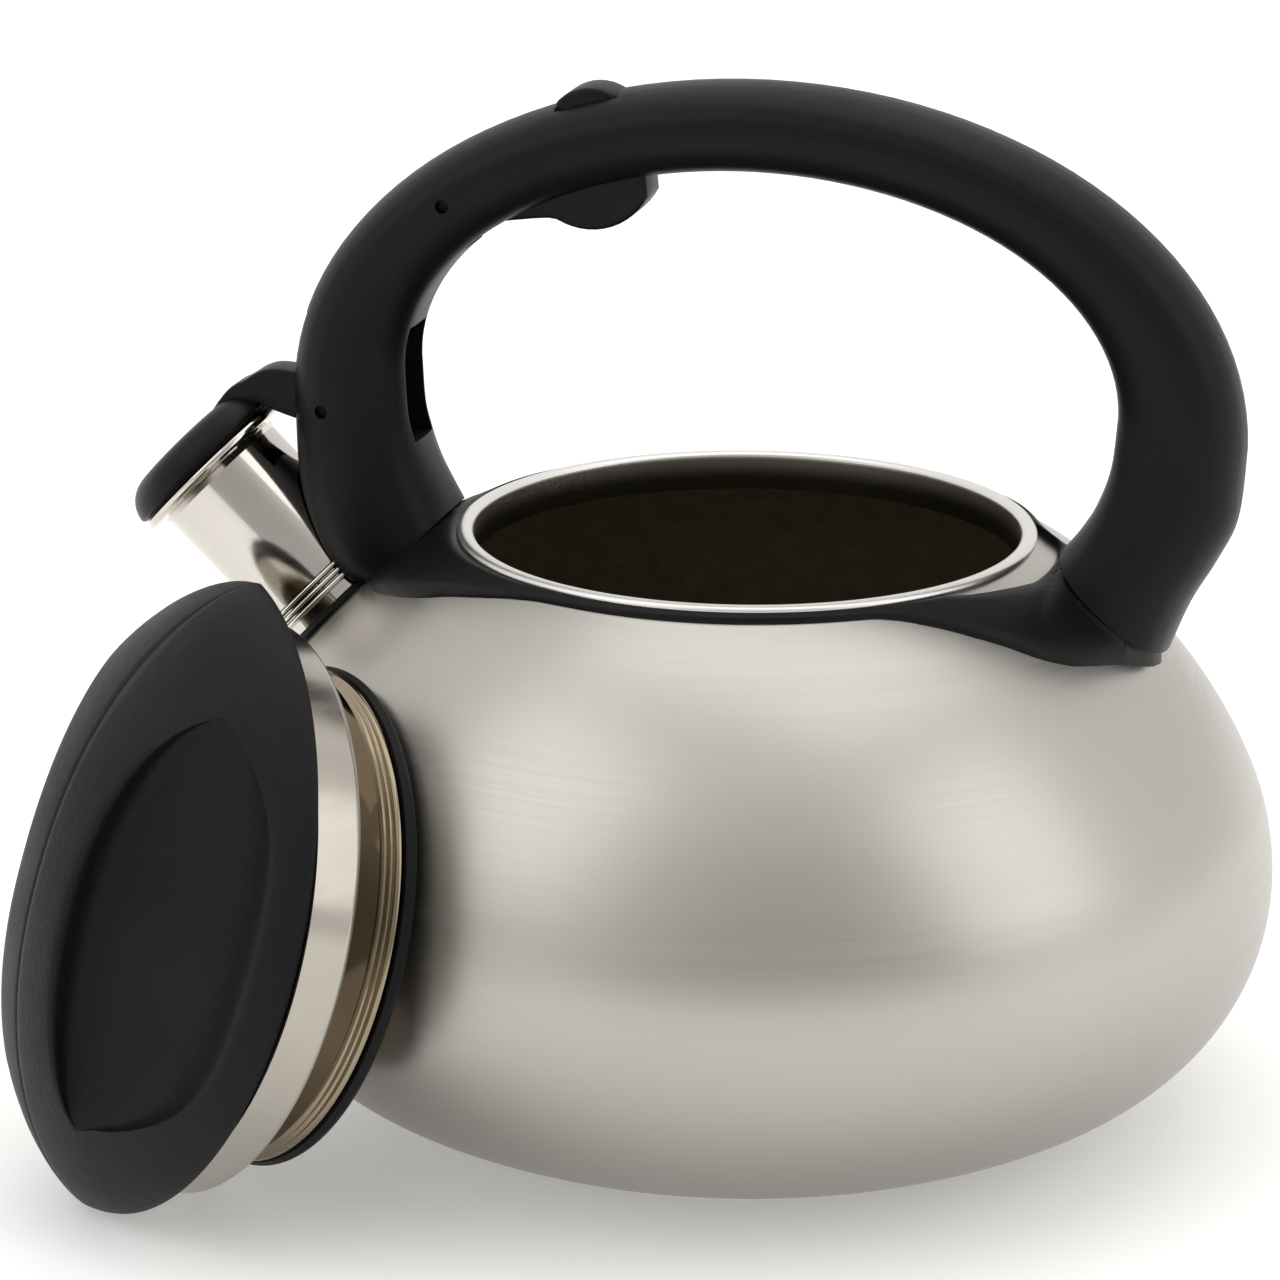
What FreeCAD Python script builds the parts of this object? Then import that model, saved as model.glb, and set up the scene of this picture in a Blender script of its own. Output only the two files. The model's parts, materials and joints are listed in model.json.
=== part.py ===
import FreeCAD, Part
import math
import os
import Sketcher

# Stovetop whistling kettle, millimetres, +Z up.
# The origin is the centre of the kettle's base on the hob. The handle lies in the XZ plane, the spout
# points to -X, and the lid rests off the kettle, leaning on its left front.

doc = FreeCAD.newDocument("kettle")
sheet = doc.addObject("Spreadsheet::Sheet", "dims")

DIMENSIONS = {
    # body shell, a surface of revolution made of two arcs above the belly and two below
    "body_radius": 111.0,
    "belly_height": 51.5,
    "shoulder_radius": 54.9,
    "shoulder_turn": 23.8,
    "crown_radius": 100.5,
    "hip_radius": 46.35,
    "hip_turn": 61.0,
    "foot_radius": 116.8,
    "wall": 0.8,
    "shell_edge": 59.0,
    # base capsule
    "base_thickness": 2.4,
    "base_radius": 63.5,
    "base_edge": 1.2,
    "cap_wall": 0.6,
    "cap_rim": 2.5,
    # mouth ring
    "mouth_radius": 56.8,
    "ring_radius": 60.0,
    "ring_top": 124.6,
    "ring_wall": 1.2,
    "ring_seat": 2.5,
    "ring_bevel": 0.7,
    "ring_lip": 1.35,
    "ring_round": 1.4,
    "neck_bottom": 116.5,
    # spout, on an axis that leans out over the shoulder
    "spout_lean": 46.0,
    "lip_x": -117.45,
    "lip_z": 129.1,
    "tube_radius": 14.9,
    "tube_wall": 0.7,
    "lip_radius": 18.2,
    "lip_thickness": 2.0,
    "lip_flare": 1.6,
    "lip_roll": 1.05,
    "tube_length": 33.0,
    "neck_radius": 14.2,
    "neck_length": 62.0,
    "spigot_length": 5.0,
    "bead_radius": 15.7,
    "bead_pitch": 1.5,
    "bead_width": 1.4,
    "bead_flank": 0.35,
    "flange_radius": 16.6,
    "flange_root": 56.0,
    "flange_face": 39.6,
    # spout cover with its whistle
    "cap_radius": 19.2,
    "cap_height": 7.8,
    "cap_gap": 0.5,
    "cap_hollow": 5.4,
    "seat_inner": 12.6,
    "seat_outer": 17.4,
    "seat_depth": 0.9,
    "whistle_radius": 10.9,
    "whistle_depth": 3.4,
    "whistle_wall": 0.7,
    "whistle_hole": 2.0,
    "disc_thickness": 0.6,
    "arm_width": 8.4,
    # hinge pins
    "pin_radius": 1.4,
    "pin_length": 22.0,
    "running_gap": 0.06,
    "cover_pin_x": -88.5,
    "cover_pin_z": 145.5,
    "trigger_pin_x": -61.8,
    "trigger_pin_z": 190.8,
    "hub_radius": 5.2,
    # link wire between the trigger's tail and the cover's arm
    "wire_radius": 0.9,
    "wire_side": 4.4,
    "tail_x": -83.0,
    "tail_z": 172.0,
    "arm_eye_x": -82.0,
    "arm_eye_z": 147.0,
    "open_pivot_gap": 0.7,
    # trigger lever
    "lever_width": 10.4,
    "tail_width": 6.0,
    "pad_inner": 30.0,
    "pad_outer": 41.5,
    # return spring under the trigger's tail
    "spring_radius": 1.5,
    "spring_wire": 0.3,
    "spring_turns": 5,
    "spring_x": -70.4,
    "spring_foot": 169.7,
    "spring_height": 5.2,
    # handle arch: two ellipses above, tapering legs below
    "arch_centre": 3.0,
    "outer_rise": 148.0,
    "outer_half_span": 100.7,
    "outer_half_height": 70.0,
    "inner_rise": 155.0,
    "inner_half_span": 74.9,
    "inner_half_height": 45.3,
    "arch_width": 26.0,
    "leg_width": 33.0,
    "slot_width": 12.0,
    "slot_gap": 0.6,
    "sleeve_gap": 0.5,
    "left_foot_inner_x": -62.9,
    "left_foot_inner_z": 124.1,
    "left_foot_outer_x": -81.2,
    "left_foot_outer_z": 105.5,
    "right_foot_inner_x": 66.6,
    "right_foot_inner_z": 124.5,
    "right_foot_outer_x": 90.3,
    "right_foot_outer_z": 104.9,
    # bracket under the handle's feet
    "strap_inner": 60.3,
    "strap_outer": 62.6,
    "strap_thickness": 2.4,
    "relief_centre": 20.5,
    "relief_radius": 45.0,
    # fixings of the handle
    "stud_radius": 2.5,
    "stud_length": 22.0,
    "stud_gap": 0.2,
    "stud_root": 9.0,
    "insert_radius": 4.2,
    "insert_length": 12.0,
    # lid
    "lid_radius": 58.3,
    "band_height": 10.0,
    "lid_wall": 0.8,
    "rim_round": 1.6,
    "plug_waist": 45.0,
    "plug_bulge": 50.0,
    "plug_curve": 16.0,
    "plug_depth": 15.6,
    "dish_reach": 44.6,
    "dish_depth": 8.8,
    "seal_radius": 51.0,
    "seal_bore": 46.25,
    "seal_bottom": 16.6,
    "seal_top": 14.05,
    "leaf_half_length": 66.0,
    "leaf_half_width": 57.0,
    "grip_height": 35.5,
    "dome_easing": 4.0,
    "scoop_radius": 21.0,
    "scoop_offset": 29.5,
    "scoop_rise": 33.0,
    "post_radius": 5.0,
    "screw_radius": 2.0,
    "screw_head": 3.9,
    "washer_radius": 5.2,
    "washer_face": 0.85,
    "screw_reach": 14.0,
    "screw_spread": 34.0,
    # resting place of the lid
    "lid_x": -88.07,
    "lid_y": -81.17,
    "lid_z": 60.4,
    "lid_tilt": 72.8,
    "lid_azimuth": 222.7,
}


class Size:
    """A number together with the sheet expression that gives it."""

    def __init__(self, number, text):
        self.number = float(number)
        self.text = text

    def __add__(self, other):
        return combined(self, "+", other, self.number + as_number(other))

    def __sub__(self, other):
        return combined(self, "-", other, self.number - as_number(other))

    def __mul__(self, other):
        return combined(self, "*", other, self.number * as_number(other))

    def __truediv__(self, other):
        return combined(self, "/", other, self.number / as_number(other))

    def __neg__(self):
        return Size(-self.number, f"(0 - {self.text})")


def as_number(value):
    return value.number if isinstance(value, Size) else float(value)


def as_text(value):
    return value.text if isinstance(value, Size) else f"{float(value)}"


def combined(left, sign, right, number):
    return Size(number, f"({as_text(left)} {sign} {as_text(right)})")


def root_of(size):
    return Size(math.sqrt(size.number), f"sqrt({size.text})")


def cosine(size):
    return Size(math.cos(math.radians(size.number)), f"cos({size.text})")


def sine(size):
    return Size(math.sin(math.radians(size.number)), f"sin({size.text})")


def fill_sheet():
    row = 1
    for alias, number in DIMENSIONS.items():
        sheet.set(f"A{row}", alias)
        sheet.set(f"B{row}", str(number))
        sheet.setAlias(f"B{row}", alias)
        row += 1
    doc.recompute()


fill_sheet()
D = {alias: Size(getattr(sheet, alias), f"dims.{alias}") for alias in DIMENSIONS}


def n(alias):
    """The plain number of a dimension, for shapes built with Part's own functions."""
    return D[alias].number


# ---------------------------------------------------------------- sketching helpers

def origin_plane(body, role):
    return [plane for plane in body.Origin.OriginFeatures if plane.Role == role][0]


def arc_between(start, end, radius):
    """The short arc from start to end; a positive radius turns left, a negative one right."""
    size = abs(radius)
    half = math.dist(start, end) / 2
    rise = math.sqrt(max(size * size - half * half, 0.0))
    side = 1 if radius > 0 else -1
    along = ((end[0] - start[0]) / (2 * half), (end[1] - start[1]) / (2 * half))
    centre = ((start[0] + end[0]) / 2 - side * along[1] * rise,
              (start[1] + end[1]) / 2 + side * along[0] * rise)
    first, last = (start, end) if radius > 0 else (end, start)
    first_angle = math.atan2(first[1] - centre[1], first[0] - centre[0])
    last_angle = math.atan2(last[1] - centre[1], last[0] - centre[0])
    if last_angle < first_angle:
        last_angle += 2 * math.pi
    circle = Part.Circle(FreeCAD.Vector(centre[0], centre[1], 0), FreeCAD.Vector(0, 0, 1), size)
    return Part.ArcOfCircle(circle, first_angle, last_angle)


def draw_outline(sketch, corners):
    """Draw a closed outline. A corner is (across, up) or (across, up, radius of the arc to the next)."""
    points = [(as_number(corner[0]), as_number(corner[1])) for corner in corners]
    starts = []
    ends = []
    for index, corner in enumerate(corners):
        start = points[index]
        end = points[(index + 1) % len(points)]
        if len(corner) == 2:
            line = Part.LineSegment(FreeCAD.Vector(*start, 0), FreeCAD.Vector(*end, 0))
            edge = sketch.addGeometry(line, False)
            starts.append((edge, 1))
            ends.append((edge, 2))
            continue
        radius = as_number(corner[2])
        edge = sketch.addGeometry(arc_between(start, end, radius), False)
        starts.append((edge, 1) if radius > 0 else (edge, 2))
        ends.append((edge, 2) if radius > 0 else (edge, 1))
    for index in range(len(corners)):
        following = (index + 1) % len(corners)
        sketch.addConstraint(Sketcher.Constraint("Coincident", *ends[index], *starts[following]))
    for index, corner in enumerate(corners):
        pin_down(sketch, starts[index], "DistanceX", corner[0], -2)
        pin_down(sketch, starts[index], "DistanceY", corner[1], -1)
        if len(corner) == 3:
            radius = corner[2] if as_number(corner[2]) > 0 else -corner[2]
            number = sketch.addConstraint(Sketcher.Constraint("Radius", starts[index][0], as_number(radius)))
            bind_constraint(sketch, number, radius)


def pin_down(sketch, vertex, kind, value, axis):
    """Fix one coordinate of a vertex, either on the sketch's axis or at a distance from the origin."""
    if as_number(value) == 0:
        sketch.addConstraint(Sketcher.Constraint("PointOnObject", *vertex, axis))
        return
    number = sketch.addConstraint(Sketcher.Constraint(kind, -1, 1, *vertex, as_number(value)))
    bind_constraint(sketch, number, value)


def bind_constraint(sketch, number, value):
    if isinstance(value, Size):
        sketch.setExpression(f"Constraints[{number}]", value.text)


def new_sketch(body, role, corners):
    sketch = body.newObject("Sketcher::SketchObject", f"{body.Name}_outline")
    sketch.AttachmentSupport = [(origin_plane(body, role), "")]
    sketch.MapMode = "FlatFace"
    draw_outline(sketch, corners)
    return sketch


def turned(label, corners, place=None):
    """A PartDesign body revolved about its own Z axis."""
    body = doc.addObject("PartDesign::Body", label)
    sketch = new_sketch(body, "XZ_Plane", corners)
    feature = body.newObject("PartDesign::Revolution", f"{label}_turn")
    feature.Profile = sketch
    feature.ReferenceAxis = (sketch, ["V_Axis"])
    feature.Angle = 360.0
    body.Tip = feature
    if place is not None:
        body.Placement = place
    return body


def plate(label, corners, width, place=None):
    """A PartDesign body padded to both sides of the XZ plane."""
    body = doc.addObject("PartDesign::Body", label)
    sketch = new_sketch(body, "XZ_Plane", corners)
    feature = body.newObject("PartDesign::Pad", f"{label}_pad")
    feature.Profile = sketch
    feature.SideType = "Symmetric"
    feature.Length = as_number(width)
    if isinstance(width, Size):
        feature.setExpression("Length", width.text)
    body.Tip = feature
    if place is not None:
        body.Placement = place
    return body


def rod(label, radius, height, place):
    """A Part cylinder along the local Z axis of its placement."""
    cylinder = doc.addObject("Part::Cylinder", label)
    for name, value in (("Radius", radius), ("Height", height)):
        setattr(cylinder, name, as_number(value))
        if isinstance(value, Size):
            cylinder.setExpression(name, value.text)
    cylinder.Placement = place
    return cylinder


def cross_rod(label, x, z, radius, width):
    """A cylinder across the handle, centred on the XZ plane."""
    place = FreeCAD.Placement(FreeCAD.Vector(as_number(x), as_number(width) / 2, as_number(z)),
                              FreeCAD.Rotation(FreeCAD.Vector(1, 0, 0), 90))
    return rod(label, radius, width, place)


def cut(label, base, tool):
    result = doc.addObject("Part::Cut", label)
    result.Base = base
    result.Tool = tool
    return result


def fused(label, shapes):
    result = doc.addObject("Part::MultiFuse", label)
    result.Shapes = shapes
    return result


def group(label, shapes):
    """Separate solids that share one node."""
    result = doc.addObject("Part::Compound", label)
    result.Links = shapes
    return result


def made(label, shape):
    feature = doc.addObject("Part::Feature", label)
    feature.Shape = shape
    return feature


# ---------------------------------------------------------------- body

CROWN_X = D["body_radius"] - D["shoulder_radius"] + (D["shoulder_radius"] - D["crown_radius"]) \
    * cosine(D["shoulder_turn"])
CROWN_Z = D["belly_height"] + (D["shoulder_radius"] - D["crown_radius"]) * sine(D["shoulder_turn"])
FOOT_X = D["body_radius"] - D["hip_radius"] + (D["hip_radius"] - D["foot_radius"]) * cosine(D["hip_turn"])
FOOT_Z = D["belly_height"] - (D["hip_radius"] - D["foot_radius"]) * sine(D["hip_turn"])


def crown_height(across, inset=0.0):
    """Height of the crown arc, moved inwards by inset, at a distance from the kettle's axis."""
    radius = D["crown_radius"] - inset
    reach = CROWN_X * -1 + across
    return CROWN_Z + root_of(radius * radius - reach * reach)


def foot_reach(height, inset=0.0):
    """Distance from the kettle's axis of the foot arc, moved inwards by inset, at a height."""
    radius = D["foot_radius"] - inset
    drop = FOOT_Z - height
    return FOOT_X + root_of(radius * radius - drop * drop)


def belly_corners(top_reach, bottom_height, inset=0.0):
    """Corners of the belly's outline from the crown down to the foot, moved inwards by inset."""
    shoulder = D["shoulder_radius"] - inset
    hip = D["hip_radius"] - inset
    return [
        (top_reach, crown_height(top_reach, inset), -(D["crown_radius"] - inset)),
        (D["body_radius"] - D["shoulder_radius"] + shoulder * cosine(D["shoulder_turn"]),
         D["belly_height"] + shoulder * sine(D["shoulder_turn"]), -shoulder),
        (D["body_radius"] - inset, D["belly_height"], -hip),
        (D["body_radius"] - D["hip_radius"] + hip * cosine(D["hip_turn"]),
         D["belly_height"] - hip * sine(D["hip_turn"]), -(D["foot_radius"] - inset)),
        (foot_reach(bottom_height, inset), bottom_height),
    ]


def reversed_outline(corners):
    """The same outline walked the other way; each arc's radius moves to its other end."""
    result = []
    for index in range(len(corners) - 1, -1, -1):
        corner = corners[index]
        before = corners[index - 1] if index > 0 else None
        if before is not None and len(before) == 3:
            result.append((corner[0], corner[1], -before[2]))
        else:
            result.append((corner[0], corner[1]))
    return result


def make_body():
    outside = belly_corners(D["shell_edge"], D["base_thickness"])
    inside = belly_corners(D["shell_edge"], D["base_thickness"] + D["wall"], D["wall"])
    on_axis = [(0, D["base_thickness"]), (0, D["base_thickness"] + D["wall"])]
    skin = turned("shell_skin", outside + on_axis + reversed_outline(inside))
    drill = rod("spout_drill", D["neck_radius"], D["neck_length"], spout_place(-n("neck_length")))
    cut("body_shell", skin, drill)
    core_radius = D["base_radius"] - D["cap_rim"]
    turned("base_core", [
        (0, D["cap_wall"]),
        (core_radius, D["cap_wall"]),
        (core_radius, D["base_thickness"]),
        (0, D["base_thickness"]),
    ])
    turned("base_cap", [
        (0, 0),
        (D["base_radius"] - D["base_edge"], 0, D["base_edge"]),
        (D["base_radius"], D["base_edge"]),
        (D["base_radius"], D["base_thickness"]),
        (core_radius, D["base_thickness"]),
        (core_radius, D["cap_wall"]),
        (0, D["cap_wall"]),
    ])
    neck_outside = D["mouth_radius"] + D["ring_wall"]
    seat = D["ring_top"] - D["ring_seat"]
    turned("mouth_ring", [
        (D["mouth_radius"], D["neck_bottom"]),
        (neck_outside, D["neck_bottom"]),
        (neck_outside, seat - D["ring_bevel"]),
        (D["shell_edge"], seat),
        (D["shell_edge"], D["ring_top"] - D["ring_lip"]),
        (D["ring_radius"], D["ring_top"] - D["ring_lip"]),
        (D["ring_radius"], D["ring_top"] - 0.6),
        (D["mouth_radius"] + D["ring_round"], D["ring_top"], D["ring_round"]),
        (D["mouth_radius"], D["ring_top"] - D["ring_round"]),
    ])


def filled_belly(label, inset):
    """The whole volume inside the belly's outline, used to trim what meets it."""
    outline = belly_corners(D["shell_edge"], D["base_thickness"] - min(inset, 0.0), inset)
    top = (0, crown_height(D["shell_edge"], inset))
    return turned(label, outline + [(0, D["base_thickness"] - min(inset, 0.0)), top])


# ---------------------------------------------------------------- spout

def spout_place(along=0.0):
    """A frame on the spout's axis with Z outwards, at a distance along it from the lip."""
    turn = FreeCAD.Rotation(FreeCAD.Vector(0, 1, 0), -n("spout_lean"))
    outwards = turn.multVec(FreeCAD.Vector(0, 0, 1))
    lip = FreeCAD.Vector(n("lip_x"), 0, n("lip_z"))
    return FreeCAD.Placement(lip + outwards * along, turn)


def neck_corners():
    """Neck tube with a spigot inside the spout tube and three raised beads."""
    bore = D["neck_radius"] - D["tube_wall"]
    foot = -D["tube_length"]
    corners = [
        (bore, -D["neck_length"]),
        (D["neck_radius"], -D["neck_length"]),
    ]
    for bead in (3, 2, 1):
        low = foot - D["bead_pitch"] * bead
        high = low + D["bead_width"]
        corners.append((D["neck_radius"], low))
        corners.append((D["bead_radius"], low + D["bead_flank"], 0.6))
        corners.append((D["bead_radius"], high - D["bead_flank"]))
        corners.append((D["neck_radius"], high))
    corners.append((D["neck_radius"], foot + D["spigot_length"]))
    corners.append((bore, foot + D["spigot_length"]))
    return corners


# Free space between the belly and a part that only lies near it
BELLY_GAP = 0.3


def make_spout():
    slip = 0.05
    bore = D["tube_radius"] - D["tube_wall"] + slip
    bore_round = 1.4
    turned("spout_tube", [
        (bore, -D["tube_length"]),
        (D["tube_radius"], -D["tube_length"]),
        (D["tube_radius"], -D["lip_thickness"] - D["lip_flare"]),
        (D["tube_radius"] + D["lip_flare"] / 2, -D["lip_thickness"] - 0.6),
        (D["lip_radius"], -D["lip_thickness"], D["lip_roll"]),
        (D["lip_radius"], 0),
        (bore + bore_round, 0, bore_round),
        (bore, -bore_round),
    ], spout_place())
    neck = turned("neck_blank", neck_corners(), spout_place())
    cut("spout_neck", neck, filled_belly("belly_hollow", D["wall"].number))
    flange = turned("flange_blank", [
        (D["neck_radius"], -D["flange_root"]),
        (D["flange_radius"], -D["flange_root"]),
        (D["flange_radius"], -D["flange_face"] - 1.0),
        (D["neck_radius"] + 1.2, -D["flange_face"]),
        (D["neck_radius"], -D["flange_face"]),
    ], spout_place())
    cut("spout_flange", flange, filled_belly("belly_solid", 0.0))
    filled_belly("belly_margin", -BELLY_GAP)


# ---------------------------------------------------------------- spout cover and whistle

def make_cover():
    gap = D["cap_gap"]
    seat = gap + D["seat_depth"]
    cap = turned("cap_dome", [
        (0, D["cap_hollow"]),
        (D["whistle_radius"], D["cap_hollow"]),
        (D["whistle_radius"], gap),
        (D["seat_inner"], gap),
        (D["seat_inner"], seat),
        (D["seat_outer"], seat),
        (D["seat_outer"], gap),
        (D["cap_radius"] - 0.6, gap),
        (D["cap_radius"], gap + 1.0, 6.8),
        (D["cap_radius"] - 5.4, D["cap_height"] - 0.6, 90.0),
        (0, D["cap_height"]),
    ], spout_place())
    # The arm climbs from the cap over a hump and runs back to its hub on the hinge pin.
    arm = plate("cover_arm", [
        (-117.4, 138.6),
        (-110.5, 139.2),
        (-107.7, 143.7),
        (-104.2, 143.3),
        (-97.5, 141.3),
        (D["cover_pin_x"], D["cover_pin_z"] - D["hub_radius"], D["hub_radius"]),
        (D["cover_pin_x"] + D["hub_radius"], D["cover_pin_z"], D["hub_radius"]),
        (D["cover_pin_x"], D["cover_pin_z"] + D["hub_radius"]),
        (-97.3, 150.8),
        (-103.7, 151.6),
        (-108.0, 149.3),
        (-111.8, 147.5),
        (-114.5, 144.0),
    ], D["arm_width"])
    eye_wall = 1.5
    eye_radius = D["wire_radius"] + D["open_pivot_gap"] + eye_wall
    eye = cross_rod("arm_eye", D["arm_eye_x"], D["arm_eye_z"], eye_radius, D["tail_width"])
    blank = fused("cover_blank", [cap, arm, eye])
    bore = cross_rod("cover_bore", D["cover_pin_x"], D["cover_pin_z"],
                     D["pin_radius"] + D["running_gap"], D["arm_width"] * 2)
    slack = cross_rod("open_pivot", D["arm_eye_x"], D["arm_eye_z"],
                      D["wire_radius"] + D["open_pivot_gap"], D["arm_width"] * 2)
    vent = rod("steam_vent", D["whistle_hole"], D["cap_height"] * 2, spout_place(4.0))
    throat = rod("cap_throat", D["whistle_radius"], D["cap_hollow"], spout_place())
    cut("spout_cover", blank, fused("cover_cuts", [bore, slack, vent, throat]))
    cup_bore = D["whistle_radius"] - D["whistle_wall"]
    cup_top = D["cap_hollow"] - 0.4
    turned("whistle_cup", [
        (cup_bore, -D["whistle_depth"]),
        (D["whistle_radius"], -D["whistle_depth"]),
        (D["whistle_radius"], cup_top),
        (cup_bore, cup_top),
    ], spout_place())
    discs = []
    inner_disc_height = 3.6
    for index, along in enumerate((-n("whistle_depth"), inner_disc_height)):
        discs.append(turned(f"whistle_disc_{index + 1}", [
            (D["whistle_hole"], 0),
            (cup_bore, 0),
            (cup_bore, D["disc_thickness"]),
            (D["whistle_hole"], D["disc_thickness"]),
        ], spout_place(along)))
    group("whistle_discs", discs)
    lip_gap = 0.1
    turned("cover_seal", [
        (D["seat_inner"], lip_gap),
        (D["seat_outer"], lip_gap),
        (D["seat_outer"], seat),
        (D["seat_inner"], seat),
    ], spout_place())


# ---------------------------------------------------------------- trigger, link, pins and spring

def around_trigger(radius, angle):
    """A point at a radius and an angle above the horizontal from the trigger's pin."""
    return (D["trigger_pin_x"] + radius * math.cos(math.radians(angle)),
            D["trigger_pin_z"] + radius * math.sin(math.radians(angle)))


def make_trigger():
    pin_x = D["trigger_pin_x"]
    pin_z = D["trigger_pin_z"]
    hub = D["hub_radius"] - 0.4
    head = plate("trigger_head", [
        (pin_x, pin_z - hub),
        (pin_x + 10.4, pin_z - 4.2),
        (pin_x + 20.2, pin_z - 2.9),
        (pin_x + 23.6, pin_z - 3.8, 14.0),
        (*around_trigger(D["pad_outer"], 4.0), D["pad_outer"]),
        (*around_trigger(D["pad_outer"], 34.5), 9.8),
        (*around_trigger(D["pad_inner"], 44.0), -D["pad_inner"]),
        (*around_trigger(D["pad_inner"], 16.0),),
        (pin_x, pin_z + hub),
    ], D["lever_width"])
    tail = plate("trigger_tail", [
        (pin_x + 2.0, pin_z - hub),
        (pin_x + 2.0, pin_z + hub),
        (pin_x - 1.5, pin_z + hub),
        (D["tail_x"] - 2.0, D["tail_z"] + 2.8),
        (D["tail_x"] + 2.0, D["tail_z"] - 2.8),
    ], D["tail_width"])
    eye = cross_rod("tail_eye", D["tail_x"], D["tail_z"], 3.4, D["tail_width"])
    hub_rod = cross_rod("trigger_hub", pin_x, pin_z, hub, D["lever_width"])
    blank = fused("trigger_blank", [head, tail, eye, hub_rod])
    bore = cross_rod("trigger_bore", pin_x, pin_z, D["pin_radius"] + D["running_gap"], D["lever_width"] * 2)
    wire_bore = cross_rod("tail_bore", D["tail_x"], D["tail_z"],
                          D["wire_radius"] + D["running_gap"], D["lever_width"] * 2)
    cut("trigger_lever", blank, fused("trigger_cuts", [bore, wire_bore]))


def make_link():
    """A bent wire: a straight run beside the levers and a cross pin through each of them."""
    side = -n("wire_side")
    ends = []
    for x, z in (("tail_x", "tail_z"), ("arm_eye_x", "arm_eye_z")):
        ends.append(FreeCAD.Vector(n(x), side, n(z)))
    run = ends[1] - ends[0]
    turn = FreeCAD.Rotation(FreeCAD.Vector(0, 0, 1), run)
    pieces = [rod("link_run", D["wire_radius"], run.Length, FreeCAD.Placement(ends[0], turn))]
    across = FreeCAD.Rotation(FreeCAD.Vector(1, 0, 0), -90)
    for index, end in enumerate(ends):
        pieces.append(rod(f"link_pin_{index + 1}", D["wire_radius"], 2 * n("wire_side"),
                          FreeCAD.Placement(end, across)))
        corner = doc.addObject("Part::Sphere", f"link_corner_{index + 1}")
        corner.Radius = n("wire_radius")
        corner.setExpression("Radius", D["wire_radius"].text)
        corner.Placement = FreeCAD.Placement(end, FreeCAD.Rotation())
        pieces.append(corner)
    fused("link_rod", pieces)


def make_pins():
    cross_rod("cover_pin", D["cover_pin_x"], D["cover_pin_z"], D["pin_radius"], D["pin_length"])
    cross_rod("trigger_pin", D["trigger_pin_x"], D["trigger_pin_z"], D["pin_radius"], D["pin_length"])


def make_spring():
    pitch = n("spring_height") / n("spring_turns")
    coil = Part.makeHelix(pitch, n("spring_height"), n("spring_radius"))
    start = coil.Vertexes[0].Point
    section = Part.Wire(Part.Circle(start, FreeCAD.Vector(0, 1, 0), n("spring_wire")).toShape())
    solid = Part.Wire(coil.Edges).makePipeShell([section], True, True)
    spring = made("return_spring", solid)
    spring.Placement = FreeCAD.Placement(
        FreeCAD.Vector(n("spring_x"), 0, n("spring_foot") + n("spring_wire")), FreeCAD.Rotation())


# ---------------------------------------------------------------- handle

def flat(x, z):
    return FreeCAD.Vector(x, 0, z)


def half_ellipse(rise, half_span, half_height):
    """The upper half of an ellipse about the arch's centre, from its right end to its left end."""
    centre = flat(n("arch_centre"), n(rise))
    right = centre + flat(n(half_span), 0)
    top = centre + flat(0, n(half_height))
    curve = Part.Ellipse(right, top, centre)
    return Part.Arc(curve, 0, math.pi).toShape()


def leg_curve(points, start_tangent=None, end_tangent=None):
    curve = Part.BSplineCurve()
    vectors = [flat(x, z) for x, z in points]
    tangents = {}
    if start_tangent is not None:
        tangents["InitialTangent"] = start_tangent
        tangents["FinalTangent"] = vectors[-1] - vectors[-2]
    if end_tangent is not None:
        tangents["InitialTangent"] = vectors[1] - vectors[0]
        tangents["FinalTangent"] = end_tangent
    curve.interpolate(Points=vectors, **tangents)
    return curve.toShape()


def arch_outline():
    centre = n("arch_centre")
    outer_right = (centre + n("outer_half_span"), n("outer_rise"))
    outer_left = (centre - n("outer_half_span"), n("outer_rise"))
    inner_right = (centre + n("inner_half_span"), n("inner_rise"))
    inner_left = (centre - n("inner_half_span"), n("inner_rise"))
    right_outer_foot = (n("right_foot_outer_x"), n("right_foot_outer_z"))
    right_inner_foot = (n("right_foot_inner_x"), n("right_foot_inner_z"))
    left_outer_foot = (n("left_foot_outer_x"), n("left_foot_outer_z"))
    left_inner_foot = (n("left_foot_inner_x"), n("left_foot_inner_z"))
    up = FreeCAD.Vector(0, 0, 20)
    edges = [
        leg_curve([right_outer_foot, (93.8, 115.8), (98.4, 124.7), (102.4, 133.8), outer_right],
                  end_tangent=up),
        half_ellipse("outer_rise", "outer_half_span", "outer_half_height"),
        leg_curve([outer_left, (-96.9, 131.2), (-92.3, 113.9), (-87.9, 107.6), left_outer_foot],
                  start_tangent=-up),
        Part.makeLine(flat(*left_outer_foot), flat(*left_inner_foot)),
        leg_curve([left_inner_foot, (-67.7, 133.5), (-71.0, 142.5), inner_left], end_tangent=up),
        half_ellipse("inner_rise", "inner_half_span", "inner_half_height"),
        leg_curve([inner_right, (76.8, 144.1), (73.9, 135.5), right_inner_foot], start_tangent=-up),
        Part.makeLine(flat(*right_inner_foot), flat(*right_outer_foot)),
    ]
    return Part.Face(Part.Wire(Part.__sortEdges__(edges)))


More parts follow.
